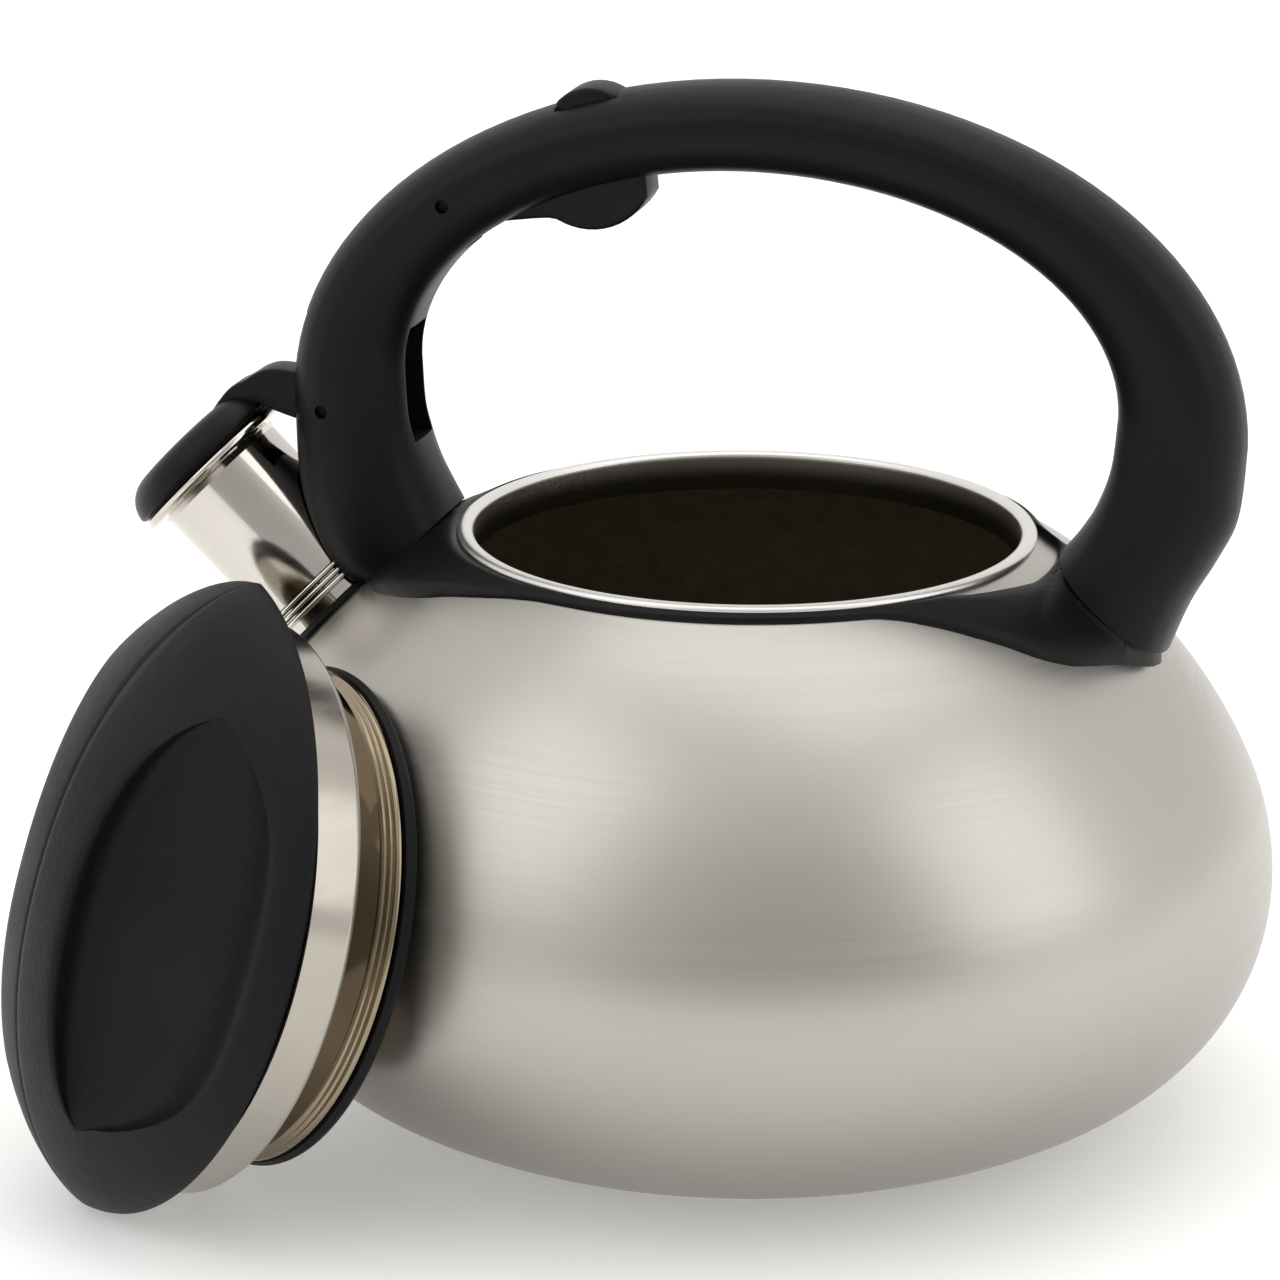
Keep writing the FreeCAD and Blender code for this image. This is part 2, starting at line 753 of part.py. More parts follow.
def width_profile():
    """Seen from the side, the handle is slim at the top and widens down its legs."""
    slim = n("arch_width") / 2
    wide = n("leg_width") / 2
    low = 95.0
    flare_start = 118.0
    flare_end = 158.0
    high = 225.0
    right = [FreeCAD.Vector(0, wide, low), FreeCAD.Vector(0, wide, flare_start)]
    bend = Part.BSplineCurve()
    bend.interpolate(Points=[right[1], FreeCAD.Vector(0, (slim + wide) / 2, (flare_start + flare_end) / 2),
                             FreeCAD.Vector(0, slim, flare_end)],
                     InitialTangent=FreeCAD.Vector(0, 0, 20), FinalTangent=FreeCAD.Vector(0, 0, 20))
    mirror = FreeCAD.Matrix()
    mirror.A22 = -1
    half = [
        Part.makeLine(*right),
        bend.toShape(),
        Part.makeLine(FreeCAD.Vector(0, slim, flare_end), FreeCAD.Vector(0, slim, high)),
    ]
    other = [edge.transformGeometry(mirror) for edge in half]
    caps = [
        Part.makeLine(FreeCAD.Vector(0, -wide, low), FreeCAD.Vector(0, wide, low)),
        Part.makeLine(FreeCAD.Vector(0, -slim, high), FreeCAD.Vector(0, slim, high)),
    ]
    return Part.Face(Part.Wire(Part.__sortEdges__(half + other + caps)))


def slab(points, width):
    """A flat polygon in the XZ plane, thickened to both sides."""
    vectors = [flat(x, z) + FreeCAD.Vector(0, width / 2, 0) for x, z in points]
    face = Part.Face(Part.makePolygon(vectors + vectors[:1]))
    return face.extrude(FreeCAD.Vector(0, -width, 0))


def ring_sector(inner, outer, first, last, width):
    """A sector of a flat ring about the trigger's pin, thickened to both sides."""
    pin = flat(n("trigger_pin_x"), n("trigger_pin_z")) + FreeCAD.Vector(0, width / 2, 0)
    steps = [first + (last - first) * index / 6 for index in range(7)]
    far = [pin + flat(outer * math.cos(math.radians(a)), outer * math.sin(math.radians(a))) for a in steps]
    near = [pin + flat(inner * math.cos(math.radians(a)), inner * math.sin(math.radians(a))) for a in steps]
    edges = [Part.Arc(far[0], far[3], far[6]).toShape(), Part.makeLine(far[6], near[6]),
             Part.Arc(near[6], near[3], near[0]).toShape(), Part.makeLine(near[0], far[0])]
    return Part.Face(Part.Wire(edges)).extrude(FreeCAD.Vector(0, -width, 0))


def mechanism_slot():
    """The cavity for the trigger, the link wire and the cover's arm."""
    width = n("slot_width")
    clearance = n("slot_gap")
    reach = n("pad_outer") + clearance
    trigger_bay = ring_sector(1.0, reach, -40, 31, width)
    pad_window = ring_sector(n("pad_inner") - clearance, reach, 20, 75, width)
    # Down the leg from the trigger to the cover's arm, with a shelf for the spring's foot.
    channel = slab([
        (-58, 200.5), (-66, 195.6), (-78, 186), (-86.5, 173.5), (-89.5, 163), (-106, 170), (-106, 136.5),
        (-84, 136.5), (-82, 134), (-60, 134), (-60, 163), (-72.6, 163), (-72.0, 169.6), (-68.5, 169.6),
        (-66, 176.0), (-57, 182), (-38, 184), (-38, 206.5), (-50, 203),
    ], width)
    return trigger_bay.fuse([pad_window, channel])


# Where each stud stands across its foot, counted from the inner edge; the left one clears the spout
LEFT_STUD_SHARE = 0.38
RIGHT_STUD_SHARE = 0.5


def foot_frames():
    """The centre of each foot and the direction square to it, up into the leg."""
    frames = []
    for side in ("left", "right"):
        inner = flat(n(f"{side}_foot_inner_x"), n(f"{side}_foot_inner_z"))
        outer = flat(n(f"{side}_foot_outer_x"), n(f"{side}_foot_outer_z"))
        along = (inner - outer).normalize()
        up = flat(-along.z, along.x) if side == "left" else flat(along.z, -along.x)
        share = LEFT_STUD_SHARE if side == "left" else RIGHT_STUD_SHARE
        frames.append((inner + (outer - inner) * share, up if up.z > 0 else -up))
    return frames


def make_handle():
    arch = arch_outline()
    arch.translate(FreeCAD.Vector(0, n("leg_width") / 2, 0))
    arch_solid = arch.extrude(FreeCAD.Vector(0, -n("leg_width"), 0))
    sides = width_profile()
    sides.translate(FreeCAD.Vector(-130, 0, 0))
    handle = arch_solid.common(sides.extrude(FreeCAD.Vector(260, 0, 0)))
    made("handle_blank", handle)
    tools = [mechanism_slot()]
    for pin in ("cover_pin", "trigger_pin"):
        start = FreeCAD.Vector(n(f"{pin}_x"), -30, n(f"{pin}_z"))
        tools.append(Part.makeCylinder(n("pin_radius"), 60, start, FreeCAD.Vector(0, 1, 0)))
    for centre, up in foot_frames():
        tools.append(Part.makeCylinder(n("insert_radius"), n("insert_length"), centre, up))
        tools.append(Part.makeCylinder(n("stud_radius") + n("stud_gap"), n("stud_length"),
                                       centre - up * 2, up))
    tools.append(spout_sleeve(n("sleeve_gap")))
    tools.append(doc.getObject("belly_margin").Shape)
    made("handle_grip", handle.cut(tools))


def spout_sleeve(clearance):
    """The space that the spout needs where it runs through the left foot."""
    frame = spout_place(-n("neck_length"))
    outwards = frame.Rotation.multVec(FreeCAD.Vector(0, 0, 1))
    radius = n("tube_radius") + clearance
    tube = Part.makeCylinder(radius, n("neck_length") - 4, frame.Base, outwards)
    beads_start = frame.Base + outwards * (n("neck_length") - n("tube_length") - 7)
    beads = Part.makeCylinder(n("bead_radius") + clearance, 8, beads_start, outwards)
    flange = Part.makeCylinder(n("flange_radius") + clearance, 22, frame.Base, outwards)
    return tube.fuse([beads, flange])


def make_fixings():
    studs = []
    inserts = []
    for index, (centre, up) in enumerate(foot_frames()):
        turn = FreeCAD.Rotation(FreeCAD.Vector(0, 0, 1), up)
        root = centre - up * n("stud_root")
        studs.append(rod(f"stud_{index + 1}", D["stud_radius"], D["stud_length"],
                         FreeCAD.Placement(root, turn)))
        sleeve = rod(f"insert_{index + 1}", D["insert_radius"], D["insert_length"] - 1,
                     FreeCAD.Placement(centre + up * 1, turn))
        hole = rod(f"insert_hole_{index + 1}", D["stud_radius"] + 0.03, D["insert_length"] + 4,
                   FreeCAD.Placement(centre - up * 1, turn))
        inserts.append(cut(f"insert_sleeve_{index + 1}", sleeve, hole))
    trimmed = cut("studs_trimmed", fused("studs_blank", studs), doc.getObject("belly_solid"))
    group("foot_studs", [trimmed])
    group("handle_inserts", inserts)


# ---------------------------------------------------------------- bracket

def belly_layer(low, high):
    """A layer over the crown, between two distances out from the belly's surface."""
    crown = FreeCAD.Vector(CROWN_X.number, 0, CROWN_Z.number)
    shoulder = FreeCAD.Vector(n("body_radius") - n("shoulder_radius"), 0, n("belly_height"))
    turn = math.radians(n("shoulder_turn"))
    top = math.radians(66)

    def on(centre, radius, angle):
        return centre + flat(radius * math.cos(angle), radius * math.sin(angle))

    edges = []
    rims = []
    for offset in (low, high):
        big = n("crown_radius") + offset
        small = n("shoulder_radius") + offset
        crown_arc = Part.Arc(on(crown, big, top), on(crown, big, (top + turn) / 2), on(crown, big, turn))
        shoulder_arc = Part.Arc(on(shoulder, small, turn), on(shoulder, small, turn / 2),
                                on(shoulder, small, 0.05))
        edges += [crown_arc.toShape(), shoulder_arc.toShape()]
        rims.append((on(crown, big, top), on(shoulder, small, 0.05)))
    edges.append(Part.makeLine(rims[0][0], rims[1][0]))
    edges.append(Part.makeLine(rims[0][1], rims[1][1]))
    face = Part.Face(Part.Wire(Part.__sortEdges__(edges)))
    return face.revolve(FreeCAD.Vector(0, 0, 0), FreeCAD.Vector(0, 0, 1), 360)


def bracket_plan():
    """Seen from above: a strap round the mouth that spreads into an ear under each foot."""
    def at(x, y):
        return FreeCAD.Vector(x, y, 90)

    leave = 49.0
    strap = n("strap_outer")
    x_leave = strap * math.sin(math.radians(90 - leave))
    y_leave = strap * math.cos(math.radians(90 - leave))
    edges = []
    for side in (-1, 1):
        edges.append(Part.Arc(at(-x_leave, side * y_leave), at(0, side * strap),
                              at(x_leave, side * y_leave)).toShape())
        edges.append(Part.makeLine(at(x_leave, side * y_leave), at(69.5, side * 34.0)))
        edges.append(Part.makeLine(at(-x_leave, side * y_leave), at(-68.0, side * 42.0)))
    edges.append(Part.Arc(at(69.5, 34.0), at(87.0, 0), at(69.5, -34.0)).toShape())
    edges.append(Part.Arc(at(-68.0, 42.0), at(-84.0, 0), at(-68.0, -42.0)).toShape())
    return Part.Face(Part.Wire(Part.__sortEdges__(edges))).extrude(FreeCAD.Vector(0, 0, 50))


def foot_blocks():
    """The part of each ear that rises to the joint with the handle's foot."""
    seam = 0.15
    blocks = []
    for side in ("left", "right"):
        inner = (n(f"{side}_foot_inner_x"), n(f"{side}_foot_inner_z") - seam)
        outer = (n(f"{side}_foot_outer_x"), n(f"{side}_foot_outer_z") - seam)
        sign = -1 if side == "left" else 1
        blocks.append(slab([inner, outer, (sign * 74, 96), (sign * 60, 108), (sign * 62.5, 120)],
                           n("leg_width")))
    return blocks


def make_bracket():
    skin = belly_layer(0.05, n("strap_thickness"))
    ears = skin.common(bracket_plan())
    solid_belly = doc.getObject("belly_solid").Shape
    risers = [block.cut(solid_belly) for block in foot_blocks()]
    mouth = Part.makeCylinder(n("strap_inner"), 60, FreeCAD.Vector(0, 0, 90))
    relief = Part.makeCylinder(n("relief_radius"), 60, FreeCAD.Vector(n("relief_centre"), 0, 90))
    tools = [mouth, relief, spout_sleeve(n("sleeve_gap"))]
    for centre, up in foot_frames():
        tools.append(Part.makeCylinder(n("stud_radius") + n("stud_gap"), 30, centre - up * 12, up))
    tools.append(doc.getObject("handle_blank").Shape)
    made("handle_bracket", ears.fuse(risers).cut(tools))


# ---------------------------------------------------------------- lid

def lid_place():
    """The lid's own frame: Z out through the grip, X down the length of the grip."""
    lean = FreeCAD.Rotation(FreeCAD.Vector(0, 1, 0), n("lid_tilt"))
    spin = FreeCAD.Rotation(FreeCAD.Vector(0, 0, 1), n("lid_azimuth"))
    return FreeCAD.Placement(FreeCAD.Vector(n("lid_x"), n("lid_y"), n("lid_z")), spin * lean)


def lid_spots():
    return [FreeCAD.Vector(side * n("screw_spread"), 0, 0) for side in (-1, 1)]


def make_lid():
    rim = D["lid_radius"]
    wall = D["lid_wall"]
    place = lid_place()
    pan = turned("pan_blank", [
        (0, 0),
        (rim - D["rim_round"], 0, D["rim_round"]),
        (rim, D["rim_round"]),
        (rim, D["band_height"]),
        (rim - wall, D["band_height"]),
        (rim - wall, D["rim_round"], -wall),
        (rim - D["rim_round"], wall),
        (0, wall),
    ], place)
    holes = []
    for index, spot in enumerate(lid_spots()):
        spot_place = place.multiply(FreeCAD.Placement(spot - FreeCAD.Vector(0, 0, 2), FreeCAD.Rotation()))
        holes.append(rod(f"pan_hole_{index + 1}", D["screw_radius"] + 0.1, 6.0, spot_place))
    cut("lid_pan", pan, fused("pan_holes", holes))
    make_plug(place)
    turned("lid_seal", [
        (D["seal_bore"], -D["seal_bottom"] + 1.3),
        (D["seal_bore"] + 1.35, -D["seal_bottom"]),
        (D["seal_radius"] - 1.4, -D["seal_bottom"], 1.4),
        (D["seal_radius"], -D["seal_bottom"] + 1.4),
        (D["seal_radius"] - 0.6, -D["seal_top"]),
        (D["seal_bore"], -D["seal_top"]),
    ], place)
    make_lid_screws(place)
    made("lid_grip", grip_shape()).Placement = place


def make_plug(place):
    """A drawn steel cup with a waist, a bulge, a groove over the seal and a dished floor."""
    wall = D["lid_wall"]
    waist = D["plug_waist"]
    bulge = D["plug_bulge"]
    deep = D["plug_depth"]
    reach = D["dish_reach"]
    rise = D["dish_depth"]
    dish = (reach * reach + rise * rise) / (rise * 2)
    turned("lid_plug", [
        (waist, -0.05),
        (waist - wall, -0.05, -D["plug_curve"]),
        (bulge - wall - 0.1, -8.6),
        (bulge - 2.2, -10.4),
        (bulge - 0.5, -12.0),
        (bulge - 1.0, -13.2),
        (reach + 0.8, -13.2),
        (reach + 0.8, wall - deep + 0.2),
        (reach, wall - deep, dish),
        (0, wall - deep + rise),
        (0, -deep + rise, -dish),
        (reach, -deep),
        (reach + 1.0, -deep),
        (reach + 1.6, -deep + 0.6),
        (reach + 1.6, -14.0),
        (bulge - 0.6, -14.0),
        (bulge + 0.3, -13.0),
        (bulge + 0.3, -11.6),
        (bulge - 1.2, -10.4),
        (bulge, -8.6, D["plug_curve"]),
    ], place)


def make_lid_screws(place):
    screws = []
    washers = []
    for index, spot in enumerate(lid_spots()):
        frame = place.multiply(FreeCAD.Placement(spot, FreeCAD.Rotation()))
        screws.append(turned(f"lid_screw_{index + 1}", [
            (0, -3.2),
            (D["screw_head"] - 0.8, -3.2, 0.9),
            (D["screw_head"], -2.4),
            (D["screw_head"], -D["washer_face"] - 0.05),
            (D["screw_radius"], -D["washer_face"] - 0.05),
            (D["screw_radius"], D["screw_reach"]),
            (0, D["screw_reach"] + 1.2),
        ], frame))
        washers.append(turned(f"lid_washer_{index + 1}", [
            (D["screw_radius"] + 0.2, -D["washer_face"]),
            (D["washer_radius"], -D["washer_face"]),
            (D["washer_radius"], -0.05),
            (D["screw_radius"] + 0.2, -0.05),
        ], frame))
    group("lid_screws", screws)
    group("lid_washers", washers)


def grip_shape():
    """The moulded lid cover: a leaf-shaped dome with a rib down its length between two finger scoops."""
    length = n("leaf_half_length")
    width = n("leaf_half_width")
    base = n("band_height") + 0.05
    rise = n("grip_height")
    bow = (length * length + width * width) / (2 * width)
    leaf = None
    for side in (-1, 1):
        disc = Part.makeCylinder(bow, rise + 10, FreeCAD.Vector(0, side * (bow - width), base))
        leaf = disc if leaf is None else leaf.common(disc)
    dome_radius = (length * length + rise * rise) / (2 * rise) + n("dome_easing")
    dome = stretched(Part.makeSphere(dome_radius), y=width / length)
    dome.translate(FreeCAD.Vector(0, 0, base + rise - dome_radius))
    body = leaf.common(dome)
    for side in (-1, 1):
        bowl = stretched(Part.makeSphere(n("scoop_radius")), x=1.9, z=1.35)
        bowl.translate(FreeCAD.Vector(0, side * n("scoop_offset"), base + n("scoop_rise")))
        body = body.cut(bowl)
    for spot in lid_spots():
        floor = n("lid_wall") + 0.05
        post = Part.makeCylinder(n("post_radius"), base + 3 - floor, spot + FreeCAD.Vector(0, 0, floor))
        body = body.fuse(post)
    for spot in lid_spots():
        body = body.cut(Part.makeCylinder(n("screw_radius"), n("screw_reach") + 2, spot))
    return body


def stretched(shape, x=1.0, y=1.0, z=1.0):
    matrix = FreeCAD.Matrix()
    matrix.A11 = x
    matrix.A22 = y
    matrix.A33 = z
    return shape.transformGeometry(matrix)


# ---------------------------------------------------------------- build, check and export

NODES = [
    "body_shell", "base_core", "base_cap", "mouth_ring", "spout_tube", "spout_neck", "spout_flange",
    "handle_bracket", "handle_grip", "foot_studs", "handle_inserts", "cover_pin", "trigger_pin",
    "return_spring", "spout_cover", "whistle_cup", "whistle_discs", "cover_seal", "trigger_lever",
    "link_rod", "lid_pan", "lid_plug", "lid_seal", "lid_grip", "lid_screws", "lid_washers",
]

make_body()
make_spout()
make_cover()
make_trigger()
make_link()
make_pins()
make_spring()
doc.recompute()
make_handle()
make_bracket()
make_fixings()
make_lid()
doc.recompute()

for item in doc.Objects:
    if "Invalid" in item.State or "Error" in item.State:
        raise SystemExit(f"{item.Label} failed: {item.State}")

os.makedirs("parts", exist_ok=True)
for name in NODES:
    piece = doc.getObject(name)
    shape = piece.Shape
    if shape.isNull() or not shape.isValid() or not shape.Solids:
        raise SystemExit(f"{name} has no valid solid")
    shape.exportStep(f"parts/{name}.step")
    box = shape.BoundBox
    print(f"{name:16s} solids {len(shape.Solids)} volume {shape.Volume:10.1f} "
          f"x {box.XMin:7.1f} {box.XMax:7.1f} y {box.YMin:7.1f} {box.YMax:7.1f} "
          f"z {box.ZMin:7.1f} {box.ZMax:7.1f}")
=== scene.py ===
import json
import math

import bmesh
import bpy
from mathutils import Matrix, Vector


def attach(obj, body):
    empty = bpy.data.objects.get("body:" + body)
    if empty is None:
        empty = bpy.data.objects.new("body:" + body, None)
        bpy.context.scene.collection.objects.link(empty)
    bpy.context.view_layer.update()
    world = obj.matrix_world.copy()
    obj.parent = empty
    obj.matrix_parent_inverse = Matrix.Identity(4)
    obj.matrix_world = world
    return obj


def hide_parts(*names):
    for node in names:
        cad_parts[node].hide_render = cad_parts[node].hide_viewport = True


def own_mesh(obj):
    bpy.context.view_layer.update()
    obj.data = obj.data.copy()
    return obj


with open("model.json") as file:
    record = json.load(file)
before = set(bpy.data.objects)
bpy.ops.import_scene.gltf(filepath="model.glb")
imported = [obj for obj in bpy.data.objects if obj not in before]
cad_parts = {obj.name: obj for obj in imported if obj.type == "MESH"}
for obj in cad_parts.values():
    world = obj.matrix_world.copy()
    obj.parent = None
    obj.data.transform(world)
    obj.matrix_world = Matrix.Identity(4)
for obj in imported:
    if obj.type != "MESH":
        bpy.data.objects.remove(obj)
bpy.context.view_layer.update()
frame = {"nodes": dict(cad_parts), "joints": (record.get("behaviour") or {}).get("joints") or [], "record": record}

MM = 0.001


# ---------------------------------------------------------------- materials

class Paint:
    """A small helper that builds one node material."""

    def __init__(self, name, colour, metallic, roughness):
        self.material = bpy.data.materials.new(name)
        self.material.use_nodes = True
        self.tree = self.material.node_tree
        self.shader = self.tree.nodes["Principled BSDF"]
        self.shader.inputs["Base Color"].default_value = (*colour, 1)
        self.shader.inputs["Metallic"].default_value = metallic
        self.shader.inputs["Roughness"].default_value = roughness
        coords = self.add("ShaderNodeTexCoord")
        self.place = coords.outputs["Object"]

    def add(self, kind, **settings):
        node = self.tree.nodes.new(kind)
        for key, value in settings.items():
            setattr(node, key, value)
        return node

    def link(self, output, socket):
        self.tree.links.new(output, socket)

    def stretched(self, scale):
        mapping = self.add("ShaderNodeMapping")
        mapping.inputs["Scale"].default_value = scale
        self.link(self.place, mapping.inputs["Vector"])
        return mapping.outputs["Vector"]

    def around(self, radial, height):
        """Coordinates that stay equal along circles about the object's own Z axis."""
        split = self.add("ShaderNodeSeparateXYZ")
        self.link(self.place, split.inputs[0])
        flat = self.add("ShaderNodeCombineXYZ")
        self.link(split.outputs["X"], flat.inputs["X"])
        self.link(split.outputs["Y"], flat.inputs["Y"])
        length = self.add("ShaderNodeVectorMath", operation="LENGTH")
        self.link(flat.outputs[0], length.inputs[0])
        out = self.add("ShaderNodeCombineXYZ")
        for source, factor, axis in ((length.outputs["Value"], radial, "X"),
                                     (split.outputs["Z"], height, "Z")):
            scale = self.add("ShaderNodeMath", operation="MULTIPLY")
            scale.inputs[1].default_value = factor
            self.link(source, scale.inputs[0])
            self.link(scale.outputs[0], out.inputs[axis])
        return out.outputs[0]

    def noise(self, vector, scale, detail=2.0, roughness=0.5):
        node = self.add("ShaderNodeTexNoise")
        node.inputs["Scale"].default_value = scale
        node.inputs["Detail"].default_value = detail
        node.inputs["Roughness"].default_value = roughness
        self.link(vector, node.inputs["Vector"])
        return node.outputs["Fac"]

    def spread(self, factor, low, high):
        """A number that runs from low to high with a noise."""
        node = self.add("ShaderNodeMapRange")
        node.inputs["From Min"].default_value = 0.25
        node.inputs["From Max"].default_value = 0.75
        node.inputs["To Min"].default_value = low
        node.inputs["To Max"].default_value = high
        self.link(factor, node.inputs["Value"])
        return node.outputs["Result"]

    def blend(self, factor, first, second):
        node = self.add("ShaderNodeMix", data_type="RGBA")
        node.inputs["A"].default_value = (*first, 1)
        node.inputs["B"].default_value = (*second, 1)
        self.link(factor, node.inputs["Factor"])
        return node.outputs["Result"]

    def rising(self, bottom, top):
        """A number that climbs from 0 to 1 between two heights in metres."""
        split = self.add("ShaderNodeSeparateXYZ")
        self.link(self.place, split.inputs[0])
        node = self.add("ShaderNodeMapRange", interpolation_type="SMOOTHSTEP")
        node.inputs["From Min"].default_value = bottom
        node.inputs["From Max"].default_value = top
        self.link(split.outputs["Z"], node.inputs["Value"])
        return node.outputs["Result"]

    def mean(self, first, second):
        total = self.add("ShaderNodeMath", operation="ADD")
        self.link(first, total.inputs[0])
        self.link(second, total.inputs[1])
        half = self.add("ShaderNodeMath", operation="MULTIPLY")
        self.link(total.outputs[0], half.inputs[0])
        half.inputs[1].default_value = 0.5
        return half.outputs[0]

    def colour_from(self, output):
        self.link(output, self.shader.inputs["Base Color"])

    def roughness_from(self, output):
        self.link(output, self.shader.inputs["Roughness"])

    def bump(self, heights, strength, distance):
        normal = None
        for height in heights:
            node = self.add("ShaderNodeBump")
            node.inputs["Strength"].default_value = strength
            node.inputs["Distance"].default_value = distance
            self.link(height, node.inputs["Height"])
            if normal is not None:
                self.link(normal, node.inputs["Normal"])
            normal = node.outputs["Normal"]
        self.link(normal, self.shader.inputs["Normal"])


def brush(paint, low, high):
    """Fine circular brushing about the kettle's own axis, in gloss and in relief."""
    strokes = paint.noise(paint.around(radial=60, height=2600), scale=1.0, detail=3.0, roughness=0.6)
    paint.roughness_from(paint.spread(strokes, low, high))
    paint.bump([strokes], strength=0.05, distance=0.0002)


def brushed_steel(name, dark, light, low, high, scale):
    """Satin steel with a slow change of tint."""
    paint = Paint(name, light, 1.0, (low + high) / 2)
    cloud = paint.noise(paint.place, scale, detail=3.0)
    paint.colour_from(paint.blend(paint.spread(cloud, 0.0, 1.0), dark, light))
    brush(paint, low, high)
    return paint


def belly_steel():
    """The belly's satin finish with a slight random change of tone, a little darker low down: painted shade
    standing for the dim floor reflected in the lower belly.
    """
    # Painted shade: the darker colour that the lower belly fades towards
    low_painted_shade = (0.27, 0.257, 0.235)
    bright = (0.5, 0.48, 0.448)
    paint = Paint("satin_belly", bright, 1.0, 0.35)
    cloud = paint.noise(paint.place, scale=9, detail=3.0)
    # Painted shade: the colour darkens from 75 mm down to 15 mm above the base, on top of a slight random change
    # of tone
    tint = paint.mean(paint.spread(cloud, 0.7, 1.0), paint.rising(bottom=0.015, top=0.075))
    paint.colour_from(paint.blend(tint, low_painted_shade, bright))
    brush(paint, 0.3, 0.4)
    return paint


def polished_steel(name, dark, light, low, high):
    """Mirror steel with faint wipe marks and a slow change of tint."""
    paint = Paint(name, light, 1.0, (low + high) / 2)
    wipe = paint.noise(paint.stretched((30, 30, 160)), scale=2.0, detail=4.0, roughness=0.6)
    cloud = paint.noise(paint.place, scale=22)
    paint.colour_from(paint.blend(paint.spread(cloud, 0.0, 1.0), dark, light))
    paint.roughness_from(paint.spread(wipe, low, high))
    paint.bump([cloud], strength=0.03, distance=0.0006)
    return paint


def moulded_black(name, dark, light, low, high, grain):
    """Black nylon from a spark-eroded mould: a fine even grain and slightly worn sheen."""
    paint = Paint(name, light, 0.0, (low + high) / 2)
    fine = paint.noise(paint.place, scale=1500, roughness=0.7)
    coarse = paint.noise(paint.place, scale=420, roughness=0.6)
    cloud = paint.noise(paint.place, scale=26, detail=4.0, roughness=0.6)
    paint.colour_from(paint.blend(paint.spread(cloud, 0.0, 1.0), dark, light))
    paint.roughness_from(paint.spread(cloud, high, low))
    paint.bump([fine, coarse], strength=grain, distance=0.00025)
    paint.shader.inputs["Specular IOR Level"].default_value = 0.16
    return paint


def plain_rubber(name, colour):
    """Silicone with a faint dusty bloom."""
    paint = Paint(name, colour, 0.0, 0.5)
    dust = paint.noise(paint.place, scale=300, detail=3.0)
    paint.roughness_from(paint.spread(dust, 0.42, 0.58))
    paint.shader.inputs["Specular IOR Level"].default_value = 0.15
    paint.bump([dust], strength=0.05, distance=0.0002)
    return paint


def turned_metal(name, dark, light, low, high):
    """Small turned or drawn parts: fine lines, and a little grime."""
    paint = Paint(name, light, 1.0, (low + high) / 2)
    lines = paint.noise(paint.stretched((2200, 300, 2200)), scale=1.0)
    grime = paint.noise(paint.place, scale=180, detail=3.0)
    paint.colour_from(paint.blend(paint.spread(grime, 0.0, 1.0), dark, light))
    paint.roughness_from(paint.spread(lines, low, high))
    paint.bump([lines], strength=0.06, distance=0.0002)
    return paint


PAINTS = {
    "belly_steel": belly_steel(),
    "base_steel": brushed_steel("base_satin", (0.34, 0.33, 0.32), (0.46, 0.45, 0.43), 0.35, 0.5, 14),
    "core_aluminium": brushed_steel("core_rolled", (0.6, 0.6, 0.61), (0.7, 0.7, 0.71), 0.4, 0.55, 20),
    "ring_steel": brushed_steel("ring_satin", (0.72, 0.71, 0.69), (0.82, 0.81, 0.79), 0.3, 0.42, 12),
    "polished_steel": polished_steel("spout_polish", (0.58, 0.55, 0.5), (0.68, 0.65, 0.6), 0.05, 0.16),
    "lid_steel": polished_steel("lid_satin", (0.37, 0.345, 0.305), (0.48, 0.45, 0.4), 0.12, 0.26),
    "plug_steel": polished_steel("plug_tinted", (0.055, 0.04, 0.026), (0.115, 0.086, 0.056), 0.05, 0.15),
    "handle_black": moulded_black("handle_nylon", (0.0028, 0.0027, 0.003), (0.0048, 0.0046, 0.0052),
                                  0.36, 0.48, grain=0.2),
    "cover_black": moulded_black("cover_nylon", (0.0032, 0.0031, 0.0035), (0.005, 0.0048, 0.0055),
                                 0.34, 0.46, grain=0.1),
    "lid_black": moulded_black("lid_nylon", (0.0055, 0.0053, 0.006), (0.0085, 0.0082, 0.0092),
                               0.42, 0.56, grain=0.5),
    "seal_black": plain_rubber("seal_silicone", (0.006, 0.006, 0.0065)),
    "pin_steel": turned_metal("pin_drawn", (0.2, 0.2, 0.2), (0.4, 0.39, 0.38), 0.25, 0.45),
    "insert_brass": turned_metal("insert_turned", (0.5, 0.36, 0.14), (0.72, 0.55, 0.26), 0.25, 0.4),
}


def collar_metal():
    """The inner face of the mouth: dark in the kettle's shade and lighter towards the rim."""
    shade = (0.05, 0.044, 0.031)
    paint = turned_metal("collar_inside", shade, shade, 0.3, 0.5)
    paint.colour_from(paint.blend(paint.rising(bottom=0.1188, top=0.1238), shade, (0.34, 0.31, 0.27)))
    return paint


# Finishes of parts of a piece that differ from the rest of it; the inside and collar colours are painted shade and
# the plug beads' colour is a painted highlight
# Painted shade: a rougher steel, darker and browner than the outside, standing for the shade inside the kettle
INSIDE = turned_metal("inside_rough_painted_shade", (0.3, 0.265, 0.19), (0.4, 0.35, 0.26), 0.45, 0.65)
COLLAR = collar_metal()
# Painted highlight: a lighter steel that stands for the bright highlights along the plug's beads
BEAD_HIGHLIGHT = polished_steel("plug_beads_highlight", (0.2, 0.16, 0.105), (0.38, 0.32, 0.23), 0.08, 0.18)
PIN_END = turned_metal("pin_blackened", (0.015, 0.015, 0.015), (0.03, 0.03, 0.03), 0.5, 0.7)

